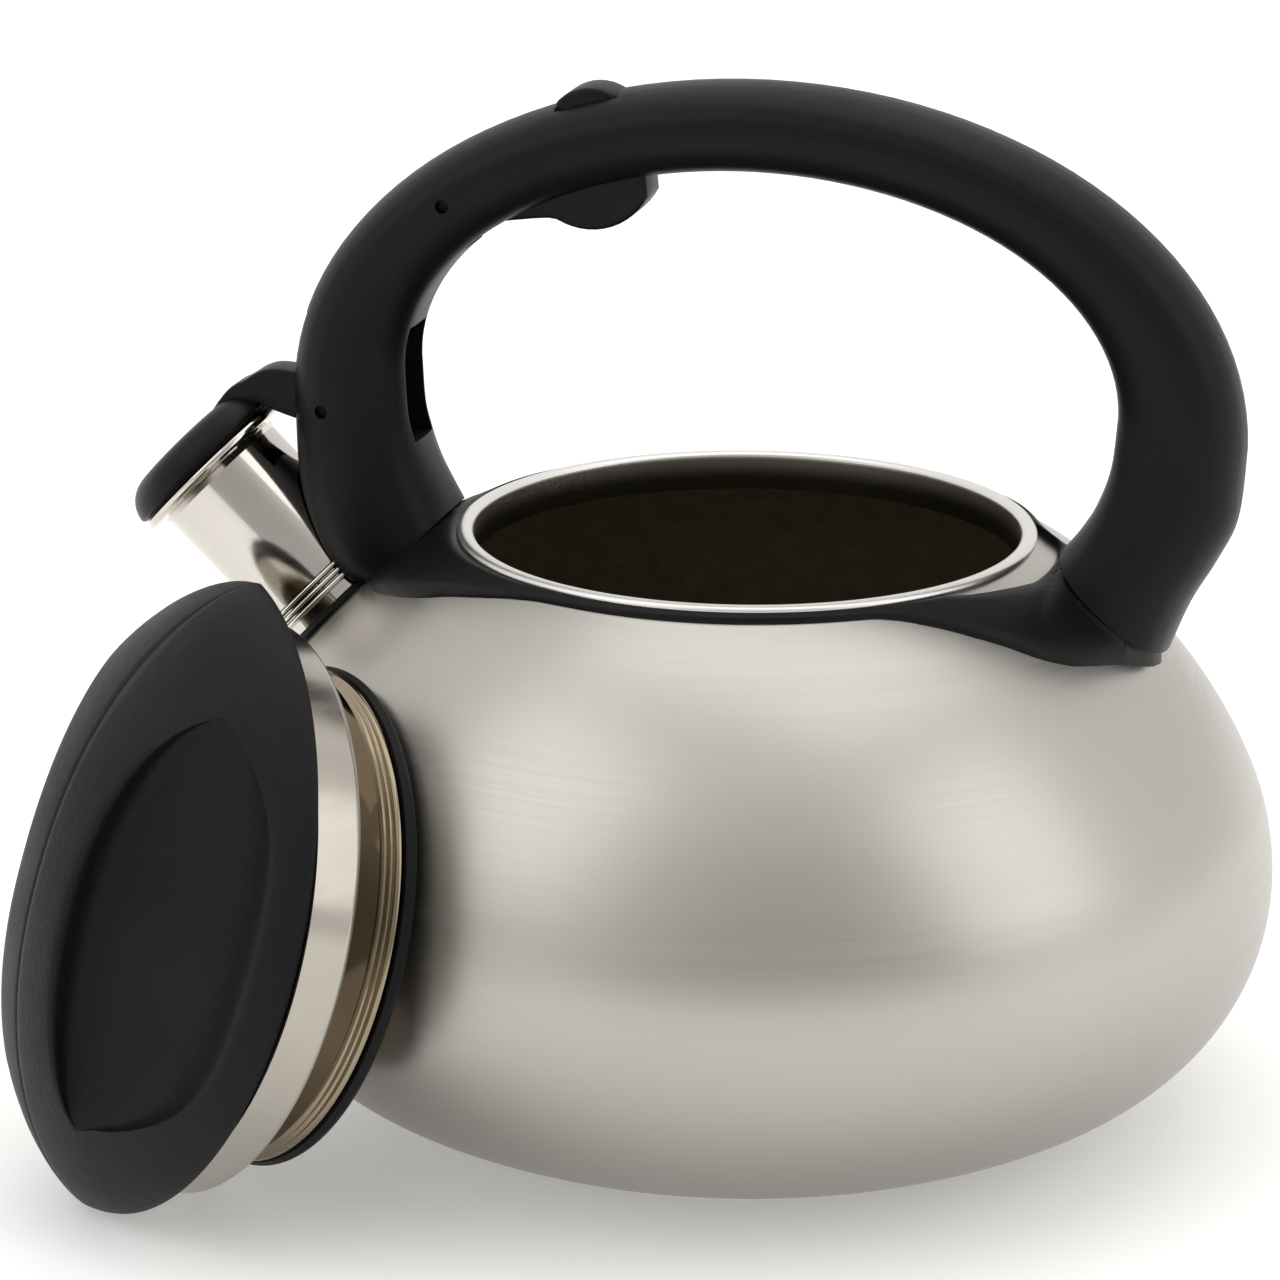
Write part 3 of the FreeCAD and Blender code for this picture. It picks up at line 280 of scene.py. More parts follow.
node_slots = {entry["node"]: entry["material_slot"] for entry in frame["record"]["subparts"]}
for node_name, node_object in frame["nodes"].items():
    node_object.data.materials.clear()
    node_object.data.materials.append(PAINTS[node_slots[node_name]].material)
for node_name in ("cover_pin", "trigger_pin"):
    frame["nodes"][node_name].data.materials[0] = PIN_END.material


# ---------------------------------------------------------------- mesh helpers

def piece(name, vertices, faces, slot, body, angle=35):
    """A mesh object made from points in millimetres; a cutter has no slot."""
    mesh = bpy.data.meshes.new(name)
    mesh.from_pydata([tuple(c * MM for c in v) for v in vertices], [], faces)
    shape = bmesh.new()
    shape.from_mesh(mesh)
    bmesh.ops.recalc_face_normals(shape, faces=shape.faces)
    shape.to_mesh(mesh)
    shape.free()
    mesh.shade_smooth()
    mesh.set_sharp_from_angle(angle=math.radians(angle))
    thing = bpy.data.objects.new(name, mesh)
    bpy.context.collection.objects.link(thing)
    if slot is not None:
        mesh.materials.append(PAINTS[slot].material)
        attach(thing, body)
    return thing


def smooth_line(points, per_span):
    """Points along a Catmull-Rom curve through the given points."""
    last = len(points) - 1
    result = []
    for index in range(last):
        a, b, c, d = (points[max(0, min(last, index + offset))] for offset in (-1, 0, 1, 2))
        for step in range(per_span):
            t = step / per_span
            result.append(tuple(
                0.5 * (2 * b[k] + (c[k] - a[k]) * t + (2 * a[k] - 5 * b[k] + 4 * c[k] - d[k]) * t * t
                       + (3 * b[k] - a[k] - 3 * c[k] + d[k]) * t * t * t)
                for k in range(len(b))))
    result.append(tuple(points[-1]))
    return result


def skin(rows, close_rows=False):
    """Faces over rows of points, each a closed loop; the rows close on each other or get end caps."""
    columns = len(rows[0])
    faces = []
    for i in range(len(rows) if close_rows else len(rows) - 1):
        for j in range(columns):
            a = i * columns + j
            b = i * columns + (j + 1) % columns
            c = ((i + 1) % len(rows)) * columns + (j + 1) % columns
            d = ((i + 1) % len(rows)) * columns + j
            faces.append((a, b, c, d))
    if not close_rows:
        faces.append(tuple(range(columns)))
        faces.append(tuple(range((len(rows) - 1) * columns, len(rows) * columns)))
    return [v for row in rows for v in row], faces


def modified(thing, kind, **settings):
    """Apply a modifier at once, so that nothing is left on the piece."""
    modifier = thing.modifiers.new(kind.lower(), kind)
    for key, value in settings.items():
        setattr(modifier, key, value)
    graph = bpy.context.evaluated_depsgraph_get()
    mesh = bpy.data.meshes.new_from_object(thing.evaluated_get(graph))
    thing.modifiers.clear()
    thing.data = mesh
    return thing


def combine(thing, operation, others):
    for other in others:
        modified(thing, "BOOLEAN", operation=operation, solver="EXACT", object=other)
        bpy.data.objects.remove(other)
    return thing


def carve(thing, cutters):
    return combine(thing, "DIFFERENCE", cutters)


def joined(thing, others):
    return combine(thing, "UNION", others)


def prism(outline, half_width):
    """A block with an outline in the XZ plane, to cut with or to join on."""
    rows = [[(x, side * half_width, z) for x, z in outline] for side in (-1, 1)]
    vertices, faces = skin(rows)
    return piece("cutter", vertices, faces, None, None)


def tube(start, end, radius, sides=40):
    """A straight rod between two points, to cut with or to join on."""
    start = Vector(start)
    end = Vector(end)
    turn = (end - start).to_track_quat("Z", "Y")
    rows = []
    for point in (start, end):
        rows.append([tuple(point + turn @ Vector((radius * math.cos(2 * math.pi * k / sides),
                                                   radius * math.sin(2 * math.pi * k / sides), 0)))
                     for k in range(sides)])
    vertices, faces = skin(rows)
    return piece("cutter", vertices, faces, None, None)


def finished(thing, bevel=0.0, angle=32, segments=2):
    """Round the sharp edges and set the shading."""
    if bevel:
        modified(thing, "BEVEL", width=bevel * MM, segments=segments, limit_method="ANGLE",
                 angle_limit=math.radians(angle), harden_normals=False)
    thing.data.shade_smooth()
    thing.data.set_sharp_from_angle(angle=math.radians(angle))
    return thing


# ---------------------------------------------------------------- belly surface

# Arcs of the belly's outline from the mouth down: (centre's distance from the axis, its height, radius)
CROWN = (14.38, 33.09, 100.5)
SHOULDER = (56.1, 51.5, 54.9)
FLANK = (64.65, 51.5, 46.35)
FOOT = (30.56, 113.1, 116.76)
# Where the crown and the flank end, in degrees above the horizontal
CROWN_END = 23.8
FLANK_END = -61.04
# Distance from the kettle's axis at which the shoulder begins
SHOULDER_REACH = 106.33
MOUTH_RADIUS = 59.0
BELLY_BOTTOM = 2.4
BELLY_WALL = 0.8


def belly_height(reach):
    """Height of the crown and shoulder at a distance from the kettle's axis."""
    centre, height, radius = CROWN if reach < SHOULDER_REACH else SHOULDER
    return height + math.sqrt(max(radius ** 2 - (reach - centre) ** 2, 0.0))


# The spout's axis points up and out from the belly, and SPOUT_LIP is where it leaves the lip
# SPOUT_ROOM is the radius that the black parts leave free round the spout and its flange
SPOUT_AXIS = Vector((-0.71934, 0, 0.69466))
SPOUT_LIP = Vector((-117.45, 0, 129.1))
SPOUT_ROOM = 15.5


def spout_cutter(first, last, radius):
    """A rod along the spout between two depths below its lip, to clear the way for the spout."""
    return tube(SPOUT_LIP - SPOUT_AXIS * first, SPOUT_LIP - SPOUT_AXIS * last, radius, 64)


def arc(centre_x, centre_z, radius, first, last, steps):
    """Points of an arc in the XZ plane, angles in degrees above the horizontal."""
    angles = [math.radians(first + (last - first) * k / steps) for k in range(steps + 1)]
    return [(centre_x + radius * math.cos(a), centre_z + radius * math.sin(a)) for a in angles]


def lathe(name, profile, slot, body, place=None, segments=160):
    """A closed outline turned about the Z axis of a place."""
    rows = []
    for step in range(segments):
        turn = 2 * math.pi * step / segments
        row = [(r * math.cos(turn), r * math.sin(turn), z) for r, z in profile]
        if place is not None:
            row = [tuple(place @ Vector(p)) for p in row]
        rows.append(row)
    vertices, faces = skin(rows, close_rows=True)
    return piece(name, vertices, faces, slot, body)


def belly_profile(inset, bottom):
    """The belly's outline from the mouth down to the base, moved inwards by inset."""
    start = math.degrees(math.acos((MOUTH_RADIUS - CROWN[0]) / (CROWN[2] - inset)))
    end = -math.degrees(math.asin((FOOT[1] - bottom) / (FOOT[2] - inset)))
    points = []
    for (centre, height, radius), first, last, steps in (
            (CROWN, start, CROWN_END, 26), (SHOULDER, CROWN_END, 0, 16),
            (FLANK, 0, FLANK_END, 24), (FOOT, FLANK_END, end, 8)):
        points = points[:-1] + arc(centre, height, radius - inset, first, last, steps)
    return points


def make_belly():
    """The drawn shell; the faces that look inwards get a rougher steel painted darker and browner, painted shade
    for the inside of the kettle.
    """
    axis_gap = 0.01
    floor = BELLY_BOTTOM + BELLY_WALL
    outside = belly_profile(0.0, BELLY_BOTTOM)
    inside = belly_profile(BELLY_WALL, floor)
    profile = outside + [(axis_gap, BELLY_BOTTOM), (axis_gap, floor)] + inside[::-1]
    belly = lathe("belly", profile, "belly_steel", "kettle", segments=200)
    carve(belly, [spout_cutter(62, 30, 14.2)])
    belly.data.materials.append(INSIDE.material)
    # Faces that look inwards get the painted-shade inside colour
    middle_reach, middle_height = 60, 55
    inside_reach = 110.6
    for face in belly.data.polygons:
        across = math.hypot(face.center.x, face.center.y) / MM
        outwards = math.hypot(face.normal.x, face.normal.y) * (
            1 if face.center.x * face.normal.x + face.center.y * face.normal.y > 0 else -1)
        high = face.center.z / MM
        facing = (across - middle_reach) * outwards + (high - middle_height) * face.normal.z
        if facing < 0 and across < inside_reach:
            face.material_index = 1
    finished(belly, 0.0, 35)
    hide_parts("body_shell")


make_belly()


def make_mouth_ring():
    """The turned ring, bright outside and painted dark with the kettle's shade where it looks down into the
    kettle.
    """
    bead = [(60.0, 123.25), (60.12, 123.6), (60.0, 124.05), (59.6, 124.38), (59.0, 124.55), (58.4, 124.6),
            (57.7, 124.5), (57.15, 124.2), (56.86, 123.75), (56.8, 123.2)]
    profile = [(56.8, 116.5), (58.0, 116.5), (58.0, 121.4), (59.0, 122.1), (59.0, 123.2)] + bead
    ring = lathe("mouth_ring_turned", profile, "ring_steel", "kettle", segments=200)
    # Painted shade: inward faces below the bead get the collar colour, dark with the kettle's shade
    ring.data.materials.append(COLLAR.material)
    inwards = -0.03
    below_bead = 123.8 * MM
    for face in ring.data.polygons:
        facing = face.center.x * face.normal.x + face.center.y * face.normal.y
        if facing < inwards and face.center.z < below_bead:
            face.material_index = 1
    finished(ring, 0.0, 40)
    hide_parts("mouth_ring")


make_mouth_ring()


# ---------------------------------------------------------------- handle

def pivot(name):
    """Where the axis of one of the frame's hinges crosses the XZ plane, in millimetres."""
    x, _, z = next(joint["pos_m"] for joint in frame["joints"] if joint["name"] == name)
    return (round(x / MM, 3), round(z / MM, 3))


# Pins and eyes of the trigger linkage; the link's upper end turns in the tail's eye
TRIGGER_PIN = pivot("trigger_hinge")
COVER_PIN = pivot("cover_hinge")
TAIL_EYE = pivot("link_hinge")
ARM_EYE = (-82, 147)

# The arch over the hand is two half ellipses: (centre x, centre z, half width, rise)
ARCH_OUTER = (3, 148, 100.7, 70)
ARCH_INNER = (3, 155, 74.9, 45.3)
ARCH_STEPS = 60


def on_arch(arch, turn):
    x, z, half_width, rise = arch
    return (x + half_width * math.cos(turn), z + rise * math.sin(turn))


def arch_stations():
    """Pairs of points on the handle's outer and inner outline, from the right foot to the left."""
    right_outer = smooth_line([(89.2, 105.4), (93.3, 115.6), (98.4, 124.7), (102.4, 133.8), (103.7, 148)], 6)
    right_inner = smooth_line([(66.6, 124.5), (70.3, 129.3), (73.9, 135.5), (76.8, 144.1), (77.9, 155)], 6)
    left_outer = smooth_line([(-97.7, 148), (-96.9, 131.2), (-95.0, 121.5), (-92.3, 113.9),
                              (-87.9, 107.6), (-81.2, 105.5)], 5)
    left_inner = smooth_line([(-71.9, 155), (-71.3, 145), (-69.6, 138.5), (-67.7, 133.5),
                              (-65.4, 129.0), (-62.9, 124.1)], 5)
    pairs = list(zip(right_outer, right_inner))[:-1]
    for step in range(ARCH_STEPS + 1):
        turn = math.pi * step / ARCH_STEPS
        pairs.append((on_arch(ARCH_OUTER, turn), on_arch(ARCH_INNER, turn)))
    pairs += list(zip(left_outer, left_inner))[1:]
    return pairs


def handle_section():
    """Half of the handle's section: (depth from the inner face, share of the half width)."""
    inner = smooth_line([(0.0, 0.0), (0.004, 0.34), (0.035, 0.6), (0.13, 0.82), (0.3, 0.96),
                         (0.5, 1.0), (0.66, 0.965), (0.745, 0.895)], 4)
    outer = smooth_line([(0.745, 0.895), (0.83, 0.79), (0.92, 0.58), (0.98, 0.3), (1.0, 0.0)], 4)
    return inner + outer[1:]


def foot_section():
    """Half of the section at the feet, a fuller oval than along the grip."""
    inner = smooth_line([(0.0, 0.0), (0.008, 0.25), (0.045, 0.5), (0.13, 0.75), (0.26, 0.92),
                         (0.45, 1.0), (0.66, 0.965), (0.78, 0.86)], 4)
    outer = smooth_line([(0.78, 0.86), (0.87, 0.72), (0.95, 0.48), (0.988, 0.24), (1.0, 0.0)], 4)
    return inner + outer[1:]


def blended(first, second, share):
    """A point part of the way from the first to the second."""
    return tuple(a + (b - a) * share for a, b in zip(first, second))


def ease(value):
    """A smooth step from 0 to 1."""
    value = max(0.0, min(1.0, value))
    return value * value * (3 - 2 * value)


GRIP_HALF_WIDTH = 13.0
FOOT_SPREAD = 3.4
FOOT_HEIGHT = 112
SPREAD_HEIGHT = 44
# The foot's oval section passes into the grip's from this height, over this much
OVAL_HEIGHT = 114
OVAL_RUN = 34


def handle_width(height):
    """Half the handle's width: even along the grip and wider towards the feet."""
    return GRIP_HALF_WIDTH + FOOT_SPREAD * (1 - ease((height - FOOT_HEIGHT) / SPREAD_HEIGHT))


def bay(inner, outer, first, last, steps=10):
    """Outline of a sector of a flat ring about the trigger's pin."""
    far = arc(*TRIGGER_PIN, outer, first, last, steps)
    near = arc(*TRIGGER_PIN, inner, first, last, steps)
    return far + near[::-1]


def make_handle():
    """The arched handle, hollowed for the trigger, its link and the cover's arm."""
    grip = handle_section()
    foot = foot_section()
    rows = []
    for outer, inner in arch_stations():
        height = (outer[1] + inner[1]) / 2
        share = ease((height - OVAL_HEIGHT) / OVAL_RUN)
        half = [blended(a, b, share) for a, b in zip(foot, grip)]
        width = handle_width(height)
        row = []
        for side in (1, -1):
            points = half if side == 1 else half[-2:0:-1]
            for depth, across in points:
                x = inner[0] + (outer[0] - inner[0]) * depth
                z = inner[1] + (outer[1] - inner[1]) * depth
                row.append((x, side * across * width, z))
        rows.append(row)
    vertices, faces = skin(rows)
    handle = piece("handle_arch", vertices, faces, "handle_black", "kettle")
    channel = [(-58, 200.5), (-66, 195.6), (-78, 186), (-86.5, 173.5), (-89.5, 163), (-106, 170),
               (-106, 136.5), (-84, 136.5), (-82, 138.6), (-60, 138.6), (-60, 163), (-72.6, 163),
               (-72.0, 169.6), (-68.5, 169.6), (-66, 176.0), (-57, 182), (-38, 184), (-38, 206.5),
               (-50, 203)]
    slot = 6.0
    pad_far = 42.1
    pad_near = 29.4
    cutters = [prism(bay(1.0, pad_far, -40, 31), slot), prism(bay(pad_near, pad_far, 20, 75), slot),
               prism(channel, slot)]
    for x, z in (TRIGGER_PIN, COVER_PIN):
        cutters.append(tube((x, -30, z), (x, 30, z), 1.45))
    cutters.append(spout_cutter(62, 4, SPOUT_ROOM))
    carve(handle, cutters)
    finished(handle, 0.35, 40, 2)
    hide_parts("handle_grip")


make_handle()


# ---------------------------------------------------------------- bracket

def edge_at(points, angle):
    """Distance from the kettle's axis of an edge at an angle, from a list of (angle, reach)."""
    for (a, first), (b, second) in zip(points, points[1:]):
        if a <= angle <= b:
            return first + (second - first) * (angle - a) / (b - a)
    return points[-1][1]


# Outer edges of the collar, front and back, by the angle from the handle's plane
RIGHT_FRONT = smooth_line([(0, 87.6), (3.5, 86.9), (7, 85.4), (12.5, 83.2), (17, 81.8), (21, 80.5),
                           (24, 79), (27, 77), (31, 73.5), (35, 70.5), (41, 66.5), (49, 62.9),
                           (58, 62.0), (90, 61.9)], 8)
LEFT_FRONT = smooth_line([(0, 80.4), (5, 80.2), (10, 79.3), (20, 77.2), (30, 73.7), (36.5, 71),
                          (41.5, 68.5), (49.5, 65.6), (57, 63.4), (66, 62.2), (90, 61.9)], 8)
RIGHT_BACK = smooth_line([(0, 87.6), (3.5, 86.6), (6.5, 84), (9, 79), (11, 72), (13.5, 65.5), (17, 62),
                          (22, 61.1), (30, 60.9), (60, 61.1), (90, 61.9)], 8)
LEFT_BACK = smooth_line([(0, 80.4), (5, 80.2), (9, 79), (12, 75), (15, 68), (18, 64), (22, 62.3),
                         (30, 61.9), (90, 61.9)], 8)
# Inner edges, which lie under the mouth ring except inside the right foot
RING_SEAT = 60.3
RING_HIDDEN = 60.0
STRAP_LEAST = 1.2
RIGHT_INNER = [(0, 65.5), (12, 64.6), (20, 63.2), (30, 61.6), (36, RING_SEAT), (90, RING_SEAT)]
LEFT_INNER = [(0, RING_SEAT), (90, RING_SEAT)]
# The faces under the feet, by side: (inner x, inner z, outer x, outer z)
FEET = {1: (66.6, 124.35, 90.3, 104.75), -1: (62.9, 123.95, 81.2, 105.35)}
FOOT_HALF_WIDTH = 16.2
FLARE = 22.0
FLARE_INSIDE = 4.4


def bracket_height(x, y, share):
    """Height of the bracket's outer face; share runs across it from 0 to 1."""
    reach = math.hypot(x, y)
    rounding = min(1.0, ((1 - abs(2 * share - 1)) * 3.0) ** 0.6)
    ear_start, ear_run = 34, 26
    ear = ease((abs(x) - ear_start) / ear_run)
    ground = belly_height(reach) + 0.45 + 0.3 * ear + (0.7 + 0.5 * ear) * rounding
    inner_x, inner_z, outer_x, outer_z = FEET[1 if x > 0 else -1]
    along = (abs(x) - inner_x) / (outer_x - inner_x)
    plane = inner_z - along * (inner_z - outer_z)
    half_width = FOOT_HALF_WIDTH * math.sqrt(max(0.0, 1 - abs(2 * along - 1) ** 2.3))
    beside = max(0.0, abs(y) - half_width) / FLARE
    inside = max(0.0, inner_x - abs(x)) / FLARE_INSIDE
    away = math.hypot(beside, inside)
    if away >= 1 or plane <= ground:
        return ground
    rise = 1 - math.sqrt(max(0.0, 1 - (1 - away) ** 2))
    return ground + (plane - ground) * rise


def make_bracket():
    """The collar round the mouth with its ears, lofted round the kettle's axis over the belly."""
    columns = 22
    steps = 720
    belly_gap = 0.05
    rows = []
    for index in range(steps):
        turn = 360 * index / steps
        folded = min(turn % 180, 180 - turn % 180)
        right = turn < 90 or turn >= 270
        front = turn > 180
        if right:
            outer = edge_at(RIGHT_FRONT if front else RIGHT_BACK, folded)
        else:
            outer = edge_at(LEFT_FRONT if front else LEFT_BACK, folded)
        inner = min(edge_at(RIGHT_INNER if right else LEFT_INNER, folded),
                    max(outer - STRAP_LEAST, RING_HIDDEN))
        a = math.radians(turn)
        top = []
        foot = []
        for k in range(columns):
            share = k / (columns - 1)
            reach = inner + (outer - inner) * share
            x = reach * math.cos(a)
            y = reach * math.sin(a)
            top.append((x, y, bracket_height(x, y, share)))
            foot.append((x, y, belly_height(reach) + belly_gap))
        rows.append(top + foot[::-1])
    vertices, faces = skin(rows, close_rows=True)
    bracket = piece("bracket_collar", vertices, faces, "handle_black", "kettle")
    carve(bracket, [spout_cutter(62, 4, SPOUT_ROOM + 0.1)])
    finished(bracket, 0.0, 40)
    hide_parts("handle_bracket")


make_bracket()


# ---------------------------------------------------------------- spout cover and trigger

SPOUT_PLACE = Matrix.Translation(SPOUT_LIP) @ Matrix.Rotation(math.radians(-46), 4, "Y")
HUB = 5.2
PIN_BORE = 1.46


def bend(start, end, radius, steps=8):
    """Points of the arc from start to just before end; a positive radius turns left."""
    half = math.dist(start, end) / 2
    rise = math.sqrt(max(radius * radius - half * half, 0.0)) * (1 if radius > 0 else -1)
    along = ((end[0] - start[0]) / (2 * half), (end[1] - start[1]) / (2 * half))
    centre = ((start[0] + end[0]) / 2 - along[1] * rise, (start[1] + end[1]) / 2 + along[0] * rise)
    first = math.atan2(start[1] - centre[1], start[0] - centre[0])
    last = math.atan2(end[1] - centre[1], end[0] - centre[0])
    if radius > 0 and last < first:
        last += 2 * math.pi
    if radius < 0 and last > first:
        last -= 2 * math.pi
    size = abs(radius)
    return [(centre[0] + size * math.cos(first + (last - first) * k / steps),
             centre[1] + size * math.sin(first + (last - first) * k / steps)) for k in range(steps)]


def crosswise(place, half_width, radius, sides=32):
    """A rod along Y through a point of the XZ plane."""
    x, z = place
    return tube((x, -half_width, z), (x, half_width, z), radius, sides)


def make_cover():
    """The spout cover: a shallow cap with a humped arm that runs back to the hinge pin."""
    well = 10.9
    roof = 5.4
    dome = bend((19.2, 1.5), (13.8, 7.2), 6.8) + bend((13.8, 7.2), (0.01, 7.8), 90.0, 6) + [(0.01, 7.8)]
    profile = [(0.01, roof), (well, roof), (well, 0.5), (12.6, 0.5), (12.6, 1.4), (17.4, 1.4),
               (17.4, 0.5), (18.6, 0.5), (19.0, 0.75), (19.2, 1.1)] + dome
    cover = lathe("cover_cap", profile, "cover_black", "cover", SPOUT_PLACE, 120)
    top = smooth_line([(-88.5, 150.7), (-93.5, 151.0), (-98.5, 151.5), (-102.5, 151.6), (-105.6, 150.6),
                       (-108.6, 148.6), (-111.6, 146.9), (-114.4, 143.6), (-117.4, 139.0)], 3)
    under = smooth_line([(-110.5, 139.6), (-108.6, 142.6), (-106.6, 143.7), (-103.5, 143.1), (-97.5, 141.3),
                         (-92.5, 140.4), (-88.5, 140.3)], 3)
    hub = arc(*COVER_PIN, HUB, -80, 80, 10)
    arm = finished(prism(top + under + hub, 4.2), 0.9, 40, 3)
    joined(cover, [arm, crosswise(ARM_EYE, 3, 3.1)])
    whistle_hole = tube(SPOUT_PLACE @ Vector((0, 0, 4)), SPOUT_PLACE @ Vector((0, 0, 12)), 2.0, 32)
    whistle_room = tube(SPOUT_PLACE @ Vector((0, 0, -1)), SPOUT_PLACE @ Vector((0, 0, roof)), well, 96)
    carve(cover, [whistle_hole, whistle_room, crosswise(COVER_PIN, 9, PIN_BORE),
                  crosswise(ARM_EYE, 9, 1.6)])
    finished(cover, 0.0, 34)
    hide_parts("spout_cover")


def make_trigger():
    """The trigger: a rounded pad under the hand, a raised nib above it and a tail inside the handle."""
    px, pz = TRIGGER_PIN
    boss = 4.8
    half_width = 5.2
    tail_half_width = 3.0
    far = 41.5
    near = 30.0

    def around(radius, angle):
        return (px + radius * math.cos(math.radians(angle)), pz + radius * math.sin(math.radians(angle)))

    outline = [(px, pz - boss)] + smooth_line([(px + 10.4, pz - 4.2), (px + 20.2, pz - 2.9),
                                               (px + 23.6, pz - 3.8)], 3)[:-1]
    outline += bend((px + 23.6, pz - 3.8), around(far, 4), 14.0, 12)
    outline += bend(around(far, 4), around(far, 34.5), far, 14)
    outline += bend(around(far, 34.5), around(near, 44), 9.8, 10)
    outline += bend(around(near, 44), around(near, 16), -near, 10)
    outline += [around(near, 16), (px, pz + boss)]
    trigger = finished(prism(outline, half_width), 0.9, 40, 3)
    trigger.name = "trigger_body"
    tail = prism([(px + 2, pz - boss), (px + 2, pz + boss), (px - 1.5, pz + boss),
                  (TAIL_EYE[0] - 2, TAIL_EYE[1] + 2.8), (TAIL_EYE[0] + 2, TAIL_EYE[1] - 2.8)],
                 tail_half_width)
    joined(trigger, [tail, crosswise(TAIL_EYE, tail_half_width, 3.4),
                     crosswise(TRIGGER_PIN, half_width, boss, 48)])
    carve(trigger, [crosswise(TRIGGER_PIN, 9, PIN_BORE), crosswise(TAIL_EYE, 9, 0.96, 24)])
    trigger.data.materials.clear()
    trigger.data.materials.append(PAINTS["cover_black"].material)
    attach(trigger, "trigger")
    finished(trigger, 0.0, 34)
    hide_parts("trigger_lever")


def make_spring():
    """The return spring under the trigger's tail, a small coil built at one fixed height on its shelf."""
    centre_x = -69.9
    foot = 169.72
    height = 5.6
    radius = 1.12
    wire = 0.2
    turns = 4.5
    steps = 24
    sides = 10
    rows = []
    for step in range(int(steps * turns) + 1):
        turn = 2 * math.pi * step / steps
        climb = foot + wire + (height - 2 * wire) * step / (steps * turns)
        out = Vector((math.cos(turn), math.sin(turn), 0))
        centre = Vector((centre_x, 0, climb)) + out * radius
        section = arc(0, 0, wire, 0, 360 - 360 / sides, sides - 1)
        rows.append([tuple(centre + out * across + Vector((0, 0, up))) for across, up in section])
    vertices, faces = skin(rows)
    spring = piece("spring_coil", vertices, faces, "pin_steel", "kettle", 60)
    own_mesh(spring)
    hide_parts("return_spring")


make_cover()
make_trigger()
make_spring()


# ---------------------------------------------------------------- lid grip

# The lid's own frame where it leans on the belly: Z out through the grip, X along its crest
LID_PLACE = (Matrix.Translation((-88.07, -81.17, 60.4)) @ Matrix.Rotation(math.radians(222.7), 4, "Z")
             @ Matrix.Rotation(math.radians(72.8), 4, "Y"))
# Seen from above, the grip is a leaf of this half length and half width, with edges of radius LEAF_BOW
LEAF_LENGTH = 66.0
LEAF_WIDTH = 57.0
LEAF_BOW = (LEAF_LENGTH ** 2 + LEAF_WIDTH ** 2) / (2 * LEAF_WIDTH)
GRIP_BOTTOM = 10.1
GRIP_RIM = 11.1
CREST_RISE = 30.1
SCOOP_MIDDLE = 0.5
SCOOP_LENGTH = 43.5
SCOOP_FLOOR = 14.0
SCOOP_EDGE = 0.93


def leaf_edge(x):
    """Half the width of the leaf at a distance along it."""
    return max(math.sqrt(LEAF_BOW ** 2 - x * x) - (LEAF_BOW - LEAF_WIDTH), 0.0)


# Across a scoop: (share of the way from rib to lip, share of the depth, undercut under the rib)
SCOOP = [(0.0, 0.01, 0.0), (0.006, 0.03, 0.0), (0.012, 0.08, 0.5), (0.016, 0.14, 1.6), (0.02, 0.22, 2.4),
         (0.028, 0.31, 2.5), (0.045, 0.39, 1.7), (0.075, 0.45, 0.5), (0.13, 0.53, 0.0), (0.2, 0.62, 0.0),
         (0.3, 0.73, 0.0), (0.42, 0.83, 0.0), (0.55, 0.9, 0.0), (0.66, 0.92, 0.0), (0.76, 0.87, 0.0),
         (0.84, 0.74, 0.0), (0.905, 0.54, 0.0), (0.95, 0.31, 0.0), (0.98, 0.12, 0.0), (1.0, 0.03, 0.0)]


def grip_section(x):
    """Half of the lid grip's section at a distance along the rib: a list of (y, z)."""
    edge = max(leaf_edge(x), 0.05)
    along = min(abs(x) / LEAF_LENGTH, 1.0)
    rise = CREST_RISE * (1 - along ** 2.2) ** 0.7
    reach = min(abs(x - SCOOP_MIDDLE) / SCOOP_LENGTH, 1.0)
    depth = (1 - reach ** 4) ** 0.7
    span = (1 - reach ** 5) ** 0.5

    def dome(y):
        return GRIP_RIM + rise * (1 - min(y / edge, 1.0) ** 1.9) ** 0.86

    # The rib widens towards its ends, and there its edge turns in to round off the scoop
    rib = min(12.3 + (9.0 if x < 0 else 2.0) * reach ** 2, edge * 0.5)
    turned_in = (0.34 if x < 0 else 0.14) * (1 - (1 - reach ** 8) ** 0.5)
    rib += (edge * SCOOP_EDGE - rib) * turned_in
    lip = rib + (edge * SCOOP_EDGE - rib) * (0.04 + 0.96 * span)
    # A fine mould seam runs along the crest
    fade = min(1.0, edge / 12)
    points = [(0.0, dome(0.0) - 0.25 * fade), (0.22 * fade, dome(0.0) - 0.03 * fade)]
    for share in (0.12, 0.3):
        points.append((rib * share, dome(rib * share)))
    for share in (0.5, 0.75, 0.93):
        points.append((rib * share, dome(rib * share)))
    for across, down, under in SCOOP:
        y = rib + (lip - rib) * across
        points.append((y - under * depth, dome(y) - (dome(y) - SCOOP_FLOOR) * down * depth))
    for share in (0.35, 0.7, 0.93, 1.0):
        y = lip + (edge - lip) * share
        points.append((y, dome(y)))
    points.append((edge, GRIP_BOTTOM))
    return points


def make_lid_grip():
    """The black cover of the lid: a domed leaf with a scoop for the fingers on each side of a rib."""
    stations = [-LEAF_LENGTH * math.cos(math.pi * k / 96) for k in range(1, 96)]
    rows = []
    for x in stations:
        half = grip_section(x)
        row = [(x, y, z) for y, z in half] + [(x, -y, z) for y, z in half[:0:-1]]
        rows.append([tuple(LID_PLACE @ Vector(p)) for p in row])
    vertices, faces = skin(rows)
    grip = piece("lid_cover", vertices, faces, "lid_black", "lid")
    finished(grip, 0.0, 50)
    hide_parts("lid_grip")


